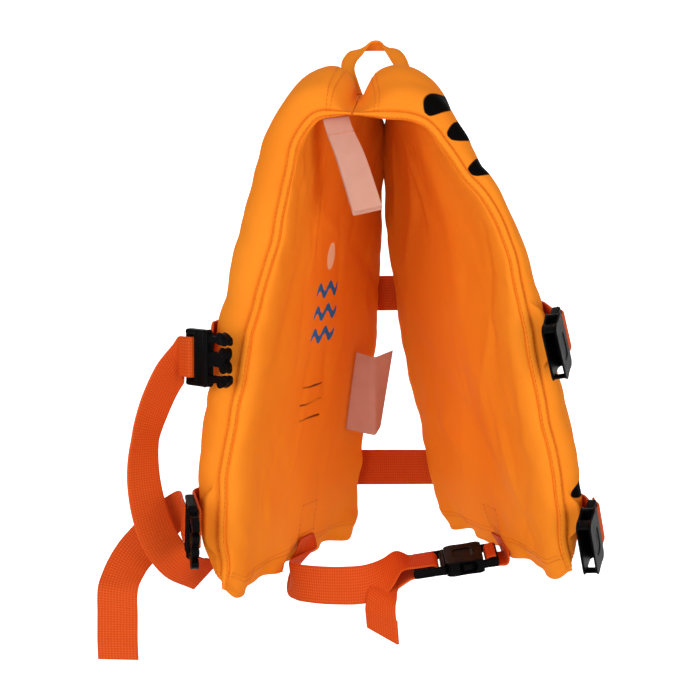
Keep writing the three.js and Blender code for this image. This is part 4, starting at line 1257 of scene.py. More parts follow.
rib_inputs = {"Pitch": "NodeSocketFloat", "Depth": "NodeSocketFloat", "Material": "NodeSocketMaterial"}
rib_tree, given = new_tree("Webbing ribs", rib_inputs)
named = {}
for name in ("along", "rib"):
    found = add_node(rib_tree, "GeometryNodeInputNamedAttribute", {"Name": name}, data_type="FLOAT")
    named[name] = found.outputs[0]
sums = [
    ("DIVIDE", given["Pitch"]),
    ("MULTIPLY", math.tau),
    ("SINE", 0.0),
    ("MULTIPLY", given["Depth"]),
    ("MULTIPLY", named["rib"]),
]
height = named["along"]
for operation, other in sums:
    height = add_node(rib_tree, "ShaderNodeMath", {0: height, 1: other}, operation=operation).outputs[0]
normal = add_node(rib_tree, "GeometryNodeInputNormal").outputs[0]
offset = add_node(rib_tree, "ShaderNodeVectorMath", {0: normal, "Scale": height}, operation="SCALE")
raised = {"Geometry": given["Geometry"], "Offset": offset.outputs[0]}
raised = add_node(rib_tree, "GeometryNodeSetPosition", raised)
end_tree(rib_tree, raised.outputs[0], given["Material"])
print(rib_tree.name, "tree has", len(rib_tree.nodes), "nodes")

# %% Make the tapes
RIB_DEPTH_MM = 0.12
FOLDED_TAILS = {"upper_belt": 1, "lower_belt": 1, "crotch_strap_front": 1}


def run_tree(piece, tree, inputs):
    """Runs a Geometry Nodes tree on a piece and keeps its result."""
    modifier = piece.modifiers.new(tree.name, "NODES")
    modifier.node_group = tree
    for socket in tree.interface.items_tree:
        if socket.in_out == "INPUT" and socket.name in inputs:
            modifier[socket.identifier] = inputs[socket.name]
    keep_result(piece)


tapes = {}
paths = {}
rib_sizes = {"Pitch": RIB_PITCH_MM, "Depth": RIB_DEPTH_MM / 2 * MM, "Material": webbing_cloth}
for name, (points, across) in tape_stations.items():
    path = tape_path(points, across, RIB_PITCH_MM / 4)
    end = path["along"][-1]
    folds = [(end - FOLD_LENGTH_MM, end, FOLDED_TAILS[name])] if name in FOLDED_TAILS else []
    tape = tape_piece(f"{name}_tape", path, WEBBING_WIDTH, WEBBING_THICKNESS, webbing_cloth, folds)
    run_tree(tape, rib_tree, rib_sizes)
    paths[name] = path
    tapes[name] = tape
    print(name, "is", round(end), "mm of webbing,", len(tape.data.vertices), "vertices")

# %% [markdown]
# A belt pulled round a foam pad sinks into it a little. The covers swelled when they were filled, so
# wherever a tape lies on a cover, the cloth is pressed back to just under the tape, with a soft slope at
# its edges.

# %% Press the covers under the webbing
PRESS_CLEAR_MM = 0.3
PRESS_SLOPE_MM = 4.0
PRESS_SLOPES = 2
PRESS_REACH_MM = 14.0
PATH_STRIDE = 8


def values_of(mesh, name):
    values = np.zeros(len(mesh.vertices), np.float32)
    mesh.attributes[name].data.foreach_get("value", values)
    return values


def cloth_normals(cover):
    normals = np.zeros(3 * len(cover.data.vertices))
    cover.data.vertices.foreach_get("normal", normals)
    return normals.reshape(-1, 3)


def press_under(cover, side, path, width):
    """Moves the points of one face of a cover to below a tape that lies on it."""
    points = points_of(cover.data)
    chosen = np.flatnonzero(values_of(cover.data, "side") == side)
    face = points[chosen]
    at, wide, out = (path[key][::PATH_STRIDE] for key in ("at", "wide", "face"))
    nearest = np.array([np.argmin(((at - point) ** 2).sum(axis=1)) for point in face])
    away = face - at[nearest]
    sideways = np.abs((away * wide[nearest]).sum(axis=1))
    way = out[nearest]
    way = way * np.sign((way * cloth_normals(cover)[chosen]).sum(axis=1, keepdims=True))
    height = (away * way).sum(axis=1)
    lengthwise = np.sqrt(np.maximum((away**2).sum(axis=1) - sideways**2 - height**2, 0))
    beyond = np.maximum(sideways - width / 2, 0) / PRESS_SLOPE_MM
    limit = beyond**2 * PRESS_SLOPE_MM - WEBBING_THICKNESS / 2 - PRESS_CLEAR_MM
    push = np.clip(height - limit, 0, None)
    close = (np.abs(height) < PRESS_REACH_MM) & (lengthwise < PRESS_SLOPE_MM) & (beyond < PRESS_SLOPES)
    push = np.where(close, push, 0)
    points[chosen] = face - way * push[:, None]
    set_points(cover.data, points)
    print(cover.name, "pressed by up to", push.max().round(2), "mm at", int((push > 0).sum()), "points")


for name in ("upper_belt", "lower_belt"):
    press_under(front_cover, 1, paths[name], WEBBING_WIDTH)
    press_under(back_cover, 1, paths[name], WEBBING_WIDTH)
press_under(front_cover, -1, paths["crotch_strap_front"], WEBBING_WIDTH)
press_under(back_cover, -1, paths["crotch_strap_back"], WEBBING_WIDTH)

# %% [markdown]
# The back of the vest is printed with black stripes that come in from both side seams and thin out towards
# the middle. The inside of the front has a small plain print. Each printed shape is a distance field: for
# every vertex, how far it lies outside the shape's edge, measured along the cloth. The material draws the
# edge where that distance is zero, so the print stays sharp between vertices.

# %% Printed shapes
STRIPE_COLUMNS = ("tip_in", "tip_length", "end_in", "end_length", "half")
STRIPES = [
    (1.5, 304.5, 95, 296, 5.2),
    (1.5, 287.5, 90, 268, 7.4),
    (-1, 262, 84, 240, 7.2),
    (4.5, 53.5, 84, 66, 5.2),
    (0.5, 32, 86, 42, 5),
]
STRIPE_TIP_MM = 17
WAVES = {"wide": 4, "half_run": 24, "lengths": (186, 171, 156), "rise": 3, "wave": 24, "half": 2.6}
SUN = {"wide": 4, "length": 208, "radius": 9}
NAME_LINES = {"wide": 2, "half_run": 22, "lengths": (122, 111, 100), "half": 0.8}
INK_REACH_MM = 4.0
FAR_AWAY = 99.0


def ink(distance):
    """A distance in millimetres as an amount: one half at the edge, more inside, none far away."""
    return np.clip(0.5 - distance / (2 * INK_REACH_MM), 0, 1)


def stripe_distance(from_rim, length):
    """Distance outside the nearest stripe: a leaf with a round tip near the seam and a thin end."""
    nearest = np.full(len(length), FAR_AWAY)
    for row in STRIPES:
        stripe = dict(zip(STRIPE_COLUMNS, row))
        past_tip = from_rim - stripe["tip_in"]
        run = stripe["end_in"] - stripe["tip_in"]
        share = np.clip(past_tip / run, 0, 1)
        spine = mix(stripe["tip_length"], stripe["end_length"], share)
        half = stripe["half"] * round_off(past_tip, STRIPE_TIP_MM) * (1 - share**2)
        outside = np.maximum(np.maximum(-past_tip, past_tip - run), 0)
        nearest = np.minimum(nearest, np.hypot(outside, length - spine) - half)
    return nearest


def bar_distance(wide, length, row, middle):
    """Distance outside a bar with round ends, whose middle line may be a wave."""
    past_end = np.maximum(np.abs(wide - row["wide"]) - row["half_run"], 0)
    return np.hypot(past_end, length - middle) - row["half"]


def print_distances(wide, length):
    swing = WAVES["rise"] * np.sin(2 * np.pi * (wide - WAVES["wide"]) / WAVES["wave"])
    crests = [bar_distance(wide, length, WAVES, level + swing) for level in WAVES["lengths"]]
    lines = [bar_distance(wide, length, NAME_LINES, level) for level in NAME_LINES["lengths"]]
    sun = np.hypot(wide - SUN["wide"], length - SUN["length"]) - SUN["radius"]
    return {"blue_print": np.min(crests, axis=0), "pale_print": sun, "dark_print": np.min(lines, axis=0)}


print(len(STRIPES), "stripes on each side of the back")

# %% Where the covers are sewn
HEM_STITCH_INSETS = (10.5, 13.4)
HINGE_STITCH_INSETS = (13, 15.5)
FRONT_BOX = {"across": (0.06, 0.28), "length": (18.5, 38)}
BACK_BOX = {"across": (-0.15, 0.07), "length": (16, 32)}
NOMINAL_LENGTH = 300
THREAD_LIFT_MM = 0.1


def nearest_place(places, wanted):
    return int(np.argmin(np.abs(places - wanted)))


def sewn_rows(cover, shape, box):
    """Lines on the cover's own grid: two rows along the hem, two along each hinge, and a strap's box."""
    columns, rows = shape
    places = points_of(cover.data) + cloth_normals(cover) * THREAD_LIFT_MM
    faces = places[: 2 * columns * rows].reshape(2, columns, rows, 3)
    lines = [faces[face, :, HEM_INSETS.index(inset)] for face in (0, 1) for inset in HEM_STITCH_INSETS]
    shoulder = np.flatnonzero(np.abs(cover_stations()) > NECK_OUTER)
    for inset in HINGE_STITCH_INSETS:
        row = rows - 1 - EDGE_INSETS.index(inset)
        for side in (shoulder[shoulder < columns / 2], shoulder[shoulder > columns / 2]):
            lines += [faces[0, side, row], faces[1, side, row]]
    first, last = (nearest_place(cover_stations(), across) for across in box["across"])
    low, high = (nearest_place(cover_lengths(NOMINAL_LENGTH), length) for length in box["length"])
    lines += [faces[1, column, low : high + 1] for column in (first, last)]
    lines += [faces[1, first : last + 1, row] for row in (low, high)]
    return lines


sewn_lines = sewn_rows(front_cover, front_welt["shape"], FRONT_BOX)
sewn_lines += sewn_rows(back_cover, back_welt["shape"], BACK_BOX)
print(len(sewn_lines), "sewn lines on the covers' grids")


# %% Finish the covers
def finish_cover(cover):
    """One subdivision, then the prints on the finer mesh."""
    soft = cover.modifiers.new("Soft", "SUBSURF")
    soft.levels = 1
    soft.render_levels = 1
    keep_result(cover)
    mesh = cover.data
    names = ("wide", "length", "side", "from_rim")
    wide, length, side, from_rim = (values_of(mesh, name) for name in names)
    if cover is back_cover:
        set_values(mesh, "stripe", ink(np.where(side > 0.5, stripe_distance(from_rim, length), FAR_AWAY)))
    else:
        for name, distance in print_distances(wide, length).items():
            set_values(mesh, name, ink(np.where(side < -0.5, distance, FAR_AWAY)))


for cover in (front_cover, back_cover):
    finish_cover(cover)
    print(cover.name, len(cover.data.polygons), "faces")

# %% [markdown]
# Side-release buckles are moulded in two halves. The prong half has a frame with two slots for the webbing,
# two springy arms with hooked heads, and a forked middle tongue that guides it in. The socket half is a
# flat sleeve with a mouth, a window at each side where the heads catch, and one slot. Each half is put
# together from rounded plates, then voxel remeshed into one skin and smoothed, which leaves small soft
# fillets in every inner corner, as a mould does. Bevels alone would leave those corners sharp.

# %% Outlines of plates
CURVE_SAMPLES = 7
DISC_SIDES = 24


def rounded_box(start, end, half_width, corner, middle=0.0):
    """The outline of a box with round corners."""
    outline = []
    corners = [(end, 1, 0), (start, 1, 90), (start, -1, 180), (end, -1, 270)]
    for x, side, turn in corners:
        centre_x = x - corner if x == end else x + corner
        for angle in np.radians(np.linspace(turn, turn + 90, CURVE_SAMPLES)):
            y = side * (half_width - corner) + corner * math.sin(angle)
            outline.append((centre_x + corner * math.cos(angle), middle + y))
    return outline


def disc(x, y, radius):
    turns = np.linspace(0, math.tau, DISC_SIDES, endpoint=False)
    return [(x + radius * math.cos(turn), y + radius * math.sin(turn)) for turn in turns]


def followed(start, rows):
    """Half an outline: straight lines, and curves where a row has a via point."""
    outline = [start]
    for end, via in rows:
        if via is None:
            outline.append(end)
            continue
        here = np.array(outline[-1])
        for share in np.linspace(0, 1, CURVE_SAMPLES)[1:]:
            first = mix(here, np.array(via), share)
            outline.append(tuple(mix(first, mix(np.array(via), np.array(end), share), share)))
    return outline


def mirrored(half):
    """A whole outline from its half on one side of the middle line."""
    return half + [(x, -y) for x, y in half[::-1] if abs(y) > STEP]


print(len(rounded_box(0, 1, 1, 0.2)), "points in a box with round corners")

# %% Solid plates
BEVEL_STEPS = 2


def plate(outlines, half_height, bevel, lift=0.0, turned=False):
    """A plate with rounded edges. The first outline is its edge and the others are holes."""
    curve = bpy.data.curves.new("plate", "CURVE")
    curve.dimensions = "2D"
    curve.fill_mode = "BOTH"
    curve.extrude = half_height - bevel
    curve.bevel_depth = bevel
    curve.bevel_resolution = BEVEL_STEPS
    curve.offset = -bevel
    for outline in outlines:
        spline = curve.splines.new("POLY")
        spline.points.add(len(outline) - 1)
        spline.points.foreach_set("co", np.array([(x, y, 0, 1) for x, y in outline], float).ravel())
        spline.use_cyclic_u = True
    shape = bpy.data.objects.new("plate", curve)
    bpy.context.scene.collection.objects.link(shape)
    graph = bpy.context.evaluated_depsgraph_get()
    mesh = bpy.data.meshes.new_from_object(shape.evaluated_get(graph), depsgraph=graph)
    bpy.data.objects.remove(shape)
    solid = bmesh.new()
    solid.from_mesh(mesh)
    bpy.data.meshes.remove(mesh)
    bmesh.ops.remove_doubles(solid, verts=solid.verts, dist=STEP / 10)
    if turned:
        bmesh.ops.rotate(solid, verts=solid.verts, matrix=Matrix.Rotation(math.pi / 2, 3, "X"))
    bmesh.ops.translate(solid, verts=solid.verts, vec=(0, 0, lift))
    bmesh.ops.recalc_face_normals(solid, faces=solid.faces)
    return solid


def box_plate(box, half_height, bevel, middle=0.0, lift=0.0):
    """A plate from a box: its start, end, half width and corner."""
    return plate([rounded_box(*box, middle)], half_height, bevel, lift)


print("a plate's edge is rounded in", BEVEL_STEPS + 1, "steps")

# %% Join, cut and mould
BUCKLE_VOXEL = 0.42
BUCKLE_EASE = {"factor": 0.5, "iterations": 4}
BUCKLE_FACES = 0.35


def as_object(name, solids):
    """Several solids as one object."""
    mesh = bpy.data.meshes.new(name)
    whole = bmesh.new()
    for solid in solids:
        solid.to_mesh(mesh)
        whole.from_mesh(mesh)
        solid.free()
    whole.to_mesh(mesh)
    whole.free()
    made = bpy.data.objects.new(name, mesh)
    bpy.context.scene.collection.objects.link(made)
    return made


def cut(body, solids):
    """Takes solids away from a body."""
    tools = [as_object("cutter", [solid]) for solid in solids]
    for tool in tools:
        away = body.modifiers.new("Cut", "BOOLEAN")
        away.operation = "DIFFERENCE"
        away.solver = "EXACT"
        away.object = tool
    keep_result(body)
    for tool in tools:
        bpy.data.objects.remove(tool)


def moulded(body):
    """One smooth skin round overlapping solids, with soft fillets, as points in millimetres and faces."""
    skin = body.modifiers.new("Skin", "REMESH")
    skin.mode = "VOXEL"
    skin.voxel_size = BUCKLE_VOXEL
    ease = body.modifiers.new("Ease", "SMOOTH")
    ease.factor = BUCKLE_EASE["factor"]
    ease.iterations = BUCKLE_EASE["iterations"]
    thin = body.modifiers.new("Thin", "DECIMATE")
    thin.ratio = BUCKLE_FACES
    keep_result(body)
    flat = np.zeros(3 * len(body.data.vertices))
    body.data.vertices.foreach_get("co", flat)
    faces = [list(polygon.vertices) for polygon in body.data.polygons]
    bpy.data.objects.remove(body)
    return flat.reshape(-1, 3), faces


print("buckle skin voxels of", BUCKLE_VOXEL, "mm")

# %% Plates of the prong half
BUCKLE_HALF_WIDTH = 17.5
BUCKLE_CORNER = 3
SLOT_HALF_WIDTH = 13.7
SLOT_CORNER = 1
FRAME_BEVEL = 0.8
MALE_SLOTS = ((5, 9.5), (14, 19))
PRONG_START = 18.8
PRONG_ROOT = BUCKLE_HALF_WIDTH - 0.6
PRONG_HALF = 2.1
PRONG_BEVEL = 0.75
PRONG_ROWS = [
    ((MALE_FRAME_LENGTH, 14.3), (MALE_FRAME_LENGTH, BUCKLE_HALF_WIDTH)),
    ((31.6, 13.4), None),
    ((34.5, 16.5), (32.4, 16.6)),
    ((42.4, 12.6), (38.6, 16.2)),
    ((40.5, 9.4), (42.8, 9.6)),
    ((31, 10.6), (34, 9.6)),
    ((MALE_FRAME_LENGTH, 10.4), None),
    ((MALE_FRAME_LENGTH, 4.2), None),
    ((34, 3.4), None),
    ((38, 7.5), (34.6, 7.4)),
    ((41.6, 4), (42, 7.4)),
    ((38.6, 0), (41, 1.6)),
]
PRONG_BARS = [
    {"box": (0, 4.8, BUCKLE_HALF_WIDTH, 2.3), "half_height": 2.5, "bevel": 1.6},
    {"box": (19.3, 21.8, BUCKLE_HALF_WIDTH - 1.2, 1), "half_height": 3.5, "bevel": 0.8},
]
PRONG_RAIL = {"box": (0.3, 21, 1.75, 1.6), "half_height": 2.9, "bevel": 1.1}
PRONG_RAIL_MIDDLE = 15.6
TONGUE_HEAD = {"at": (38.2, 4.6), "radius": 2.7, "half_height": 2.7, "bevel": 0.9}
ARM_HEAD = {"at": (37.4, 13.2), "radius": 2.6, "half_height": 2.5, "bevel": 0.9}
FACE_PLATES = [
    {"box": (9.9, 21.4, BUCKLE_HALF_WIDTH - 2, 2), "half_height": 0.9, "bevel": 0.5, "lift": 1.9},
    {"box": (9.9, 12.4, BUCKLE_HALF_WIDTH - 1.5, 1.1), "half_height": 1.4, "bevel": 0.7, "lift": 2.0},
]
print(len(PRONG_ROWS), "curves and lines round half of the prongs")


# %% Prong half
def prong_half(closed):
    """A prong half. A closed one has a face plate over its second slot, an open one shows both slots."""
    edge = rounded_box(0, MALE_FRAME_LENGTH, BUCKLE_HALF_WIDTH, BUCKLE_CORNER)
    slots = [rounded_box(start, end, SLOT_HALF_WIDTH, SLOT_CORNER) for start, end in MALE_SLOTS]
    root = ((PRONG_START, PRONG_ROOT), None)
    prongs = mirrored(followed((PRONG_START, 0), [root, *PRONG_ROWS]))
    solids = [plate([edge, *slots], BAR_HALF, FRAME_BEVEL), plate([prongs], PRONG_HALF, PRONG_BEVEL)]
    solids += [box_plate(**row) for row in PRONG_BARS]
    for side in (-1, 1):
        solids.append(box_plate(**PRONG_RAIL, middle=side * PRONG_RAIL_MIDDLE))
        for head in (TONGUE_HEAD, ARM_HEAD):
            x, y = head["at"]
            solids.append(plate([disc(x, side * y, head["radius"])], head["half_height"], head["bevel"]))
    if closed:
        solids += [box_plate(**row) for row in FACE_PLATES]
    return moulded(as_object("prong_half", solids))


shapes = {"male": prong_half(True), "open": prong_half(False)}
print({kind: len(faces) for kind, (points, faces) in shapes.items()}, "faces in each prong half")

# %% Socket half
FEMALE_SLOT = (5.5, 10.5)
FEMALE_BODY_START = 10.7
FEMALE_BODY_HALF = 4.6
FEMALE_BODY_BEVEL = 2.0
SOCKET_HALF = 3.2
SOCKET = {"box": (12.4, FEMALE_LENGTH + 4, 15, 1.2), "half_height": SOCKET_HALF, "bevel": 0.6}
SIDE_WINDOW = (14.5, 29.5, SOCKET_HALF, 2.4)
WINDOW_BEVEL = 0.1
FACE_RECESS = {"box": (16.5, 29, 8.5, 4), "half_height": 0.6, "bevel": 0.3}
SOCKET_RAIL = {"box": (0.3, 13, 1.5, 1.4), "half_height": 2.8, "bevel": 1.1}
SOCKET_RAIL_MIDDLE = 14.9
GRIP_RIDGES = [(25.9, 26.9), (27.5, 28.5), (29.1, 30.1)]
GRIP_RIDGE = {"half_width": 0.6, "corner": 0.45, "middle": 16.9, "half_height": 3.2, "bevel": 0.4}
SLEEVE_ROWS = [
    ((FEMALE_BODY_START, BUCKLE_HALF_WIDTH - 2), None),
    ((FEMALE_BODY_START + 4, BUCKLE_HALF_WIDTH), (FEMALE_BODY_START + 1, BUCKLE_HALF_WIDTH)),
    ((FEMALE_LENGTH - 5, BUCKLE_HALF_WIDTH), (22, BUCKLE_HALF_WIDTH - 1.2)),
    ((FEMALE_LENGTH, BUCKLE_HALF_WIDTH - 3), (FEMALE_LENGTH - 0.6, BUCKLE_HALF_WIDTH - 0.2)),
    ((FEMALE_LENGTH, 0), None),
]


def socket_half():
    """A socket half: a hollow sleeve, its slotted bar, two rails, and ridges for the fingers."""
    sleeve = mirrored(followed((FEMALE_BODY_START, 0), SLEEVE_ROWS))
    body = as_object("sleeve", [plate([sleeve], FEMALE_BODY_HALF, FEMALE_BODY_BEVEL)])
    window = rounded_box(*SIDE_WINDOW)
    cutters = [box_plate(**SOCKET)]
    cutters.append(plate([window], 2 * BUCKLE_HALF_WIDTH, WINDOW_BEVEL, turned=True))
    cutters += [box_plate(**FACE_RECESS, lift=side * FEMALE_BODY_HALF) for side in (-1, 1)]
    cut(body, cutters)
    hollow = bmesh.new()
    hollow.from_mesh(body.data)
    bpy.data.objects.remove(body)
    slot = rounded_box(*FEMALE_SLOT, SLOT_HALF_WIDTH, SLOT_CORNER)
    edge = rounded_box(0, FEMALE_BODY_START + 2, BUCKLE_HALF_WIDTH - 1, BUCKLE_CORNER)
    solids = [hollow, plate([edge, slot], BAR_HALF, FRAME_BEVEL)]
    solids += [box_plate(**SOCKET_RAIL, middle=side * SOCKET_RAIL_MIDDLE) for side in (-1, 1)]
    for side in (-1, 1):
        for ends in GRIP_RIDGES:
            box = (*ends, GRIP_RIDGE["half_width"], GRIP_RIDGE["corner"])
            middle = side * GRIP_RIDGE["middle"]
            solids.append(box_plate(box, GRIP_RIDGE["half_height"], GRIP_RIDGE["bevel"], middle))
    return moulded(as_object("socket_half", solids))


shapes["female"] = socket_half()
print(len(shapes["female"][1]), "faces in a socket half")

# %% Place the buckles
buckles = {}
for name, seat in seats.items():
    points, faces = shapes["open" if name == "crotch_male" else name.split("_")[1]]
    placed = points @ seat[:3, :3].T + seat[:3, 3]
    buckles[name] = add_piece(f"{name}_half", placed, faces, buckle_plastic)
print(len(buckles), "buckle halves in place")

# %% [markdown]
# Two labels are sewn into the vest: a folded ribbon that hangs from the shoulder seam, and a short wide one
# that stands off the front panel's inside, creased down its middle. They follow the CAD labels' places, in
# two plies where the ribbon is folded.

# %% Labels
NECK_LABEL = [
    ((-22, -92.5, -52), (0.82, 0.55, 0.15)),
    ((-16, -89, -66), (0.9, 0.4, 0.1)),
    ((-5, -82, -100), (0.95, 0.25, 0.2)),
]
NECK_LABEL_AT = {"across": -0.9, "row": 7.95, "width": (0.82, 0.56, 0.1)}
NECK_LABEL_WIDTH = 19
SIDE_LABEL_AT = {"across": 0.6, "height": -228}
SIDE_LABEL_HEIGHT = 54
SIDE_LABEL_FOLDS = [
    ((-2, 66, -233), (0, 0, 1)),
    ((1.5, 66, -233.5), (0, 0, 1)),
    ((9.3, 74, -229), (0.16, 0, 1)),
]
RIBBON_THICKNESS = 0.3
RIBBON_PITCH = 1.0
PLY_GAP = 0.35
PLY_SPREAD = 3.0
NECK_LABEL_OFF = 5 * GAP
SIDE_LABEL_OFF = 3 * GAP


def neck_label_path():
    """Up one ply and down the other; the under ply stands away from the upper one at its free end."""
    rows, lengths = front_panel.column(NECK_LABEL_AT["across"])
    start_length = np.interp(NECK_LABEL_AT["row"], rows, lengths)
    under = layers(front_panel, NECK_LABEL_AT["across"], np.array([start_length]))
    start = under["inner"] - under["normal"] * NECK_LABEL_OFF
    width = unit(np.array([NECK_LABEL_AT["width"]]))
    points, across = smoothed(*joined((start, width), stations(NECK_LABEL)))
    face = unit(np.cross(np.gradient(points, axis=0), across))
    share = np.linspace(0, 1, len(points))[:, None]
    upper = points + face * PLY_GAP
    down = unit(np.gradient(points, axis=0))
    lower = points - face * (PLY_GAP + PLY_SPREAD * share**2) + down * PLY_SPREAD * share**2
    return tape_path(*joined((lower[::-1], across[::-1]), (upper, across)), RIBBON_PITCH)


def side_label_path():
    at, out, up = on_face(front_panel, "inner", **SIDE_LABEL_AT)
    start = (np.array([at + out * SIDE_LABEL_OFF]), np.array([up]))
    return tape_path(*joined(start, stations(SIDE_LABEL_FOLDS)), RIBBON_PITCH)


labels = {}
label_paths = {"neck_label": neck_label_path(), "side_label": side_label_path()}
label_widths = {"neck_label": NECK_LABEL_WIDTH, "side_label": SIDE_LABEL_HEIGHT}
for name, path in label_paths.items():
    labels[name] = tape_piece(f"{name}_ribbon", path, label_widths[name], RIBBON_THICKNESS, label_ribbon)
    print(name, "cut", label_widths[name], "by", path["along"][-1].round(1), "mm")

# %% [markdown]
# The grab loop is a strip of the cover cloth, folded to a flat band and sewn along both edges. It comes out
# of the neck seam, rises, turns over at the top and goes back in, so it shows its twist.

# %% Grab loop
GRAB_LOOP = [
    ((-12, -54, -29.5), (0.8, -0.55, 0.2)),
    ((-15, -45, -21), (0.85, -0.5, 0.15)),
    ((-17.3, -28, -10), (0.92, -0.3, -0.25)),
    ((-12.5, -12, -2), (0.85, -0.45, -0.25)),
    ((-4, -2, 3.2), (0.4, -0.7, 0.6)),
    ((4, -2, 3.4), (-0.2, -0.75, 0.62)),
    ((10, -14, 0.5), (-0.75, -0.6, -0.1)),
    ((15, -30, -6), (-0.9, 0.1, -0.45)),
    ((17.5, -43, -12.5), (-0.9, 0.35, -0.25)),
    ((18, -48, -15.5), (-0.9, 0.38, -0.25)),
]
LOOP_WIDTH = 9.5
LOOP_THICKNESS = 1.4
LOOP_PITCH = 0.8

loop_path = tape_path(*smoothed(*stations(GRAB_LOOP)), LOOP_PITCH)
grab_loop = tape_piece("grab_loop_band", loop_path, LOOP_WIDTH, LOOP_THICKNESS, cover_cloth)
print("grab loop is", loop_path["along"][-1].round(1), "mm of band")

# %% [markdown]
# Every seam is held by lockstitch: short dashes of thread, each sunk at its ends. Over two thousand follow
# the welts, hems and straps, so a node tree lays them: it turns each line into a curve, puts a point on it
# at every stitch and sets a small stretched ball there, turned along the line.

# %% Stitch tree
STITCH_PITCH_MM = 3.0
STITCH_LENGTH_MM = 2.3
THREAD_MM = 0.42
BALL_SEGMENTS = 6
BALL_RINGS = 4

stitch_inputs = {
    "Pitch": "NodeSocketFloat",
    "Stitch length": "NodeSocketFloat",
    "Thread": "NodeSocketFloat",
    "Material": "NodeSocketMaterial",
}
stitch_tree, given = new_tree("Row of stitches", stitch_inputs)
line = add_node(stitch_tree, "GeometryNodeMeshToCurve", {0: given["Geometry"]}).outputs[0]
spots = {"Curve": line, "Length": given["Pitch"]}
spots = add_node(stitch_tree, "GeometryNodeCurveToPoints", spots, mode="LENGTH").outputs
ball = {"Segments": BALL_SEGMENTS, "Rings": BALL_RINGS, "Radius": 0.5}
ball = add_node(stitch_tree, "GeometryNodeMeshUVSphere", ball).outputs[0]
ball = add_node(stitch_tree, "GeometryNodeSetShadeSmooth", {0: ball}).outputs[0]
size = {"X": given["Thread"], "Y": given["Thread"], "Z": given["Stitch length"]}
size = add_node(stitch_tree, "ShaderNodeCombineXYZ", size).outputs[0]
turn = {"Vector": spots["Tangent"]}
turn = add_node(stitch_tree, "FunctionNodeAlignRotationToVector", turn, axis="Z").outputs[0]
laid = {"Points": spots["Points"], "Instance": ball, "Rotation": turn, "Scale": size}
laid = add_node(stitch_tree, "GeometryNodeInstanceOnPoints", laid).outputs[0]
end_tree(stitch_tree, laid, given["Material"])
print(stitch_tree.name, "tree has", len(stitch_tree.nodes), "nodes")

# %% [markdown]
# The lines come from the pieces that they hold: the two sides of each welt, the hems, and places on a tape
# given by how far along it and how far across.

# %% Lines on welts and tapes
WELT_STITCH_PLACES = (2, 5)
LINE_POINTS = 12


def welt_lines(welt):
    """Both stitch rows of a welt, left out along the hem and the hinge."""
    lines = []
    for place in WELT_STITCH_PLACES:
        run = []
        for (i, j), steps in zip(welt["places"], welt["points"]):
            if j and not welt["hinge"][i, j]:
                run.append(steps[place])
            elif run:
                lines.append(np.array(run))
                run = []
        if run:
            lines.append(np.array(run))
    return lines


def on_tape(path, along, across, out):
    """Points on a tape from lengths along it, distances across it and a height off its middle."""
    columns = np.concatenate([path["at"], path["wide"], path["face"]], axis=1)
    at = np.stack([np.interp(along, path["along"], column) for column in columns.T], axis=1)
    across = np.asarray(across, float).reshape(-1, 1)
    return at[:, :3] + at[:, 3:6] * across + at[:, 6:] * out


def tape_line(path, start, end, out):
    """A straight row of stitches from one place on a tape to another, each given as along and across."""
    share = np.linspace(0, 1, LINE_POINTS)
    return on_tape(path, mix(start[0], end[0], share), mix(start[1], end[1], share), out)


def sewn_box(path, middle, half_length, half_width, out):
    """A box of stitches with a cross in it."""
    corners = [(middle + a * half_length, b * half_width) for a, b in ((-1, -1), (1, -1), (1, 1), (-1, 1))]
    pairs = [(0, 1), (1, 2), (2, 3), (3, 0), (0, 2), (1, 3)]
    return [tape_line(path, corners[a], corners[b], out) for a, b in pairs]


cover_lines = welt_lines(front_welt) + welt_lines(back_welt) + sewn_lines
print(len(cover_lines), "rows of stitches on the covers")

# %% Sew
LOOP_ROW_MM = 3.4
LABEL_ROW = {"share": 0.6, "half": 8.5, "out": 0.2}
FOLD_ROW_INSETS = (FOLD_LENGTH_MM - 2.5, FOLD_LENGTH_MM - 5.5)
FOLD_ROW_HALF = 11
STRAP_BOX = {"middle": 8, "half_length": 6, "half_width": 9}


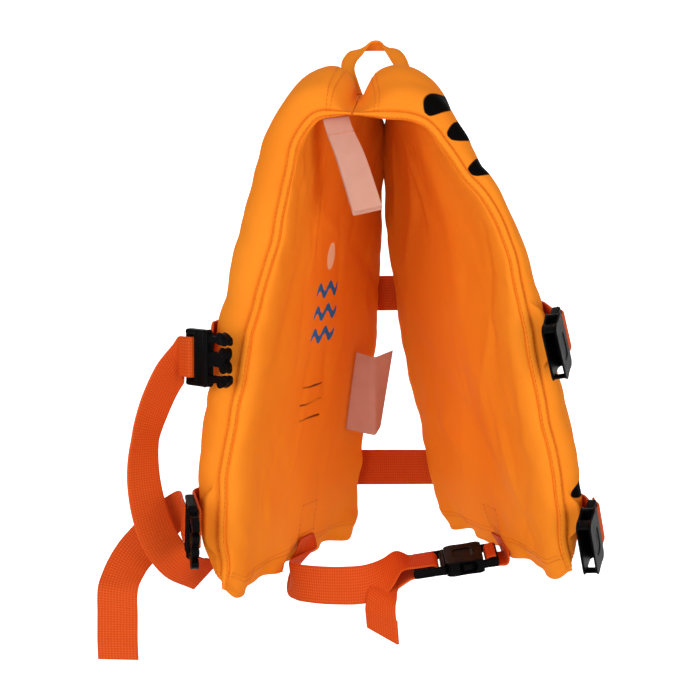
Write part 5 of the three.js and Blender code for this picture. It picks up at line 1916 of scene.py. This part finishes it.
def stitches(name, lines, material):
    points = np.concatenate(lines)
    edges = []
    base = 0
    for line in lines:
        edges += [(base + k, base + k + 1) for k in range(len(line) - 1)]
        base += len(line)
    rows = add_piece(name, points, [], material, edges)
    sizes = {"Pitch": STITCH_PITCH_MM, "Stitch length": STITCH_LENGTH_MM, "Thread": THREAD_MM}
    run_tree(rows, stitch_tree, {**{key: value * MM for key, value in sizes.items()}, "Material": material})
    print(name, len(rows.data.polygons), "faces of thread")
    return rows


loop_along = loop_path["along"]
for out in (-LOOP_THICKNESS / 2, LOOP_THICKNESS / 2):
    for across in (-LOOP_ROW_MM, LOOP_ROW_MM):
        cover_lines.append(on_tape(loop_path, loop_along, np.full(len(loop_along), across), out))
neck_path = label_paths["neck_label"]
row_along = LABEL_ROW["share"] * neck_path["along"][-1]
row_ends = [(row_along, side * LABEL_ROW["half"]) for side in (-1, 1)]
cover_lines.append(tape_line(neck_path, *row_ends, LABEL_ROW["out"]))
tape_out = WEBBING_THICKNESS / 2
tape_lines = []
for name, side in FOLDED_TAILS.items():
    end = paths[name]["along"][-1]
    for inset in FOLD_ROW_INSETS:
        row_ends = [(end - inset, across) for across in (-FOLD_ROW_HALF, FOLD_ROW_HALF)]
        for out in (side * (tape_out + WEBBING_THICKNESS), -side * tape_out):
            tape_lines.append(tape_line(paths[name], *row_ends, out))
for name in ("crotch_strap_front", "crotch_strap_back"):
    for out in (-tape_out, tape_out):
        tape_lines += sewn_box(paths[name], **STRAP_BOX, out=out)
panel_stitches = stitches("panel_stitches", cover_lines, panel_thread)
webbing_stitches = stitches("webbing_stitches", tape_lines, webbing_thread)

# %% [markdown]
# Last, each piece is tied to the frame: it rides on the CAD body and stands for its CAD node, which is
# hidden.

# %% Tie the pieces to the frame
NODE_PIECES = {
    "front_panel": (front_cover, "orange_cloth"),
    "back_panel": (back_cover, "orange_cloth"),
    "grab_loop": (grab_loop, "orange_cloth"),
}
NODE_PIECES.update({name: (tape, "orange_webbing") for name, tape in tapes.items()})
NODE_PIECES.update({f"{name}_buckle": (buckle, "black_plastic") for name, buckle in buckles.items()})
NODE_PIECES.update({name: (label, "label_cloth") for name, label in labels.items()})
for node_name, (piece, slot) in NODE_PIECES.items():
    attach(piece, "root")
    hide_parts(node_name)
for piece, slot in ((panel_stitches, "orange_cloth"), (webbing_stitches, "orange_webbing")):
    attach(piece, "root")
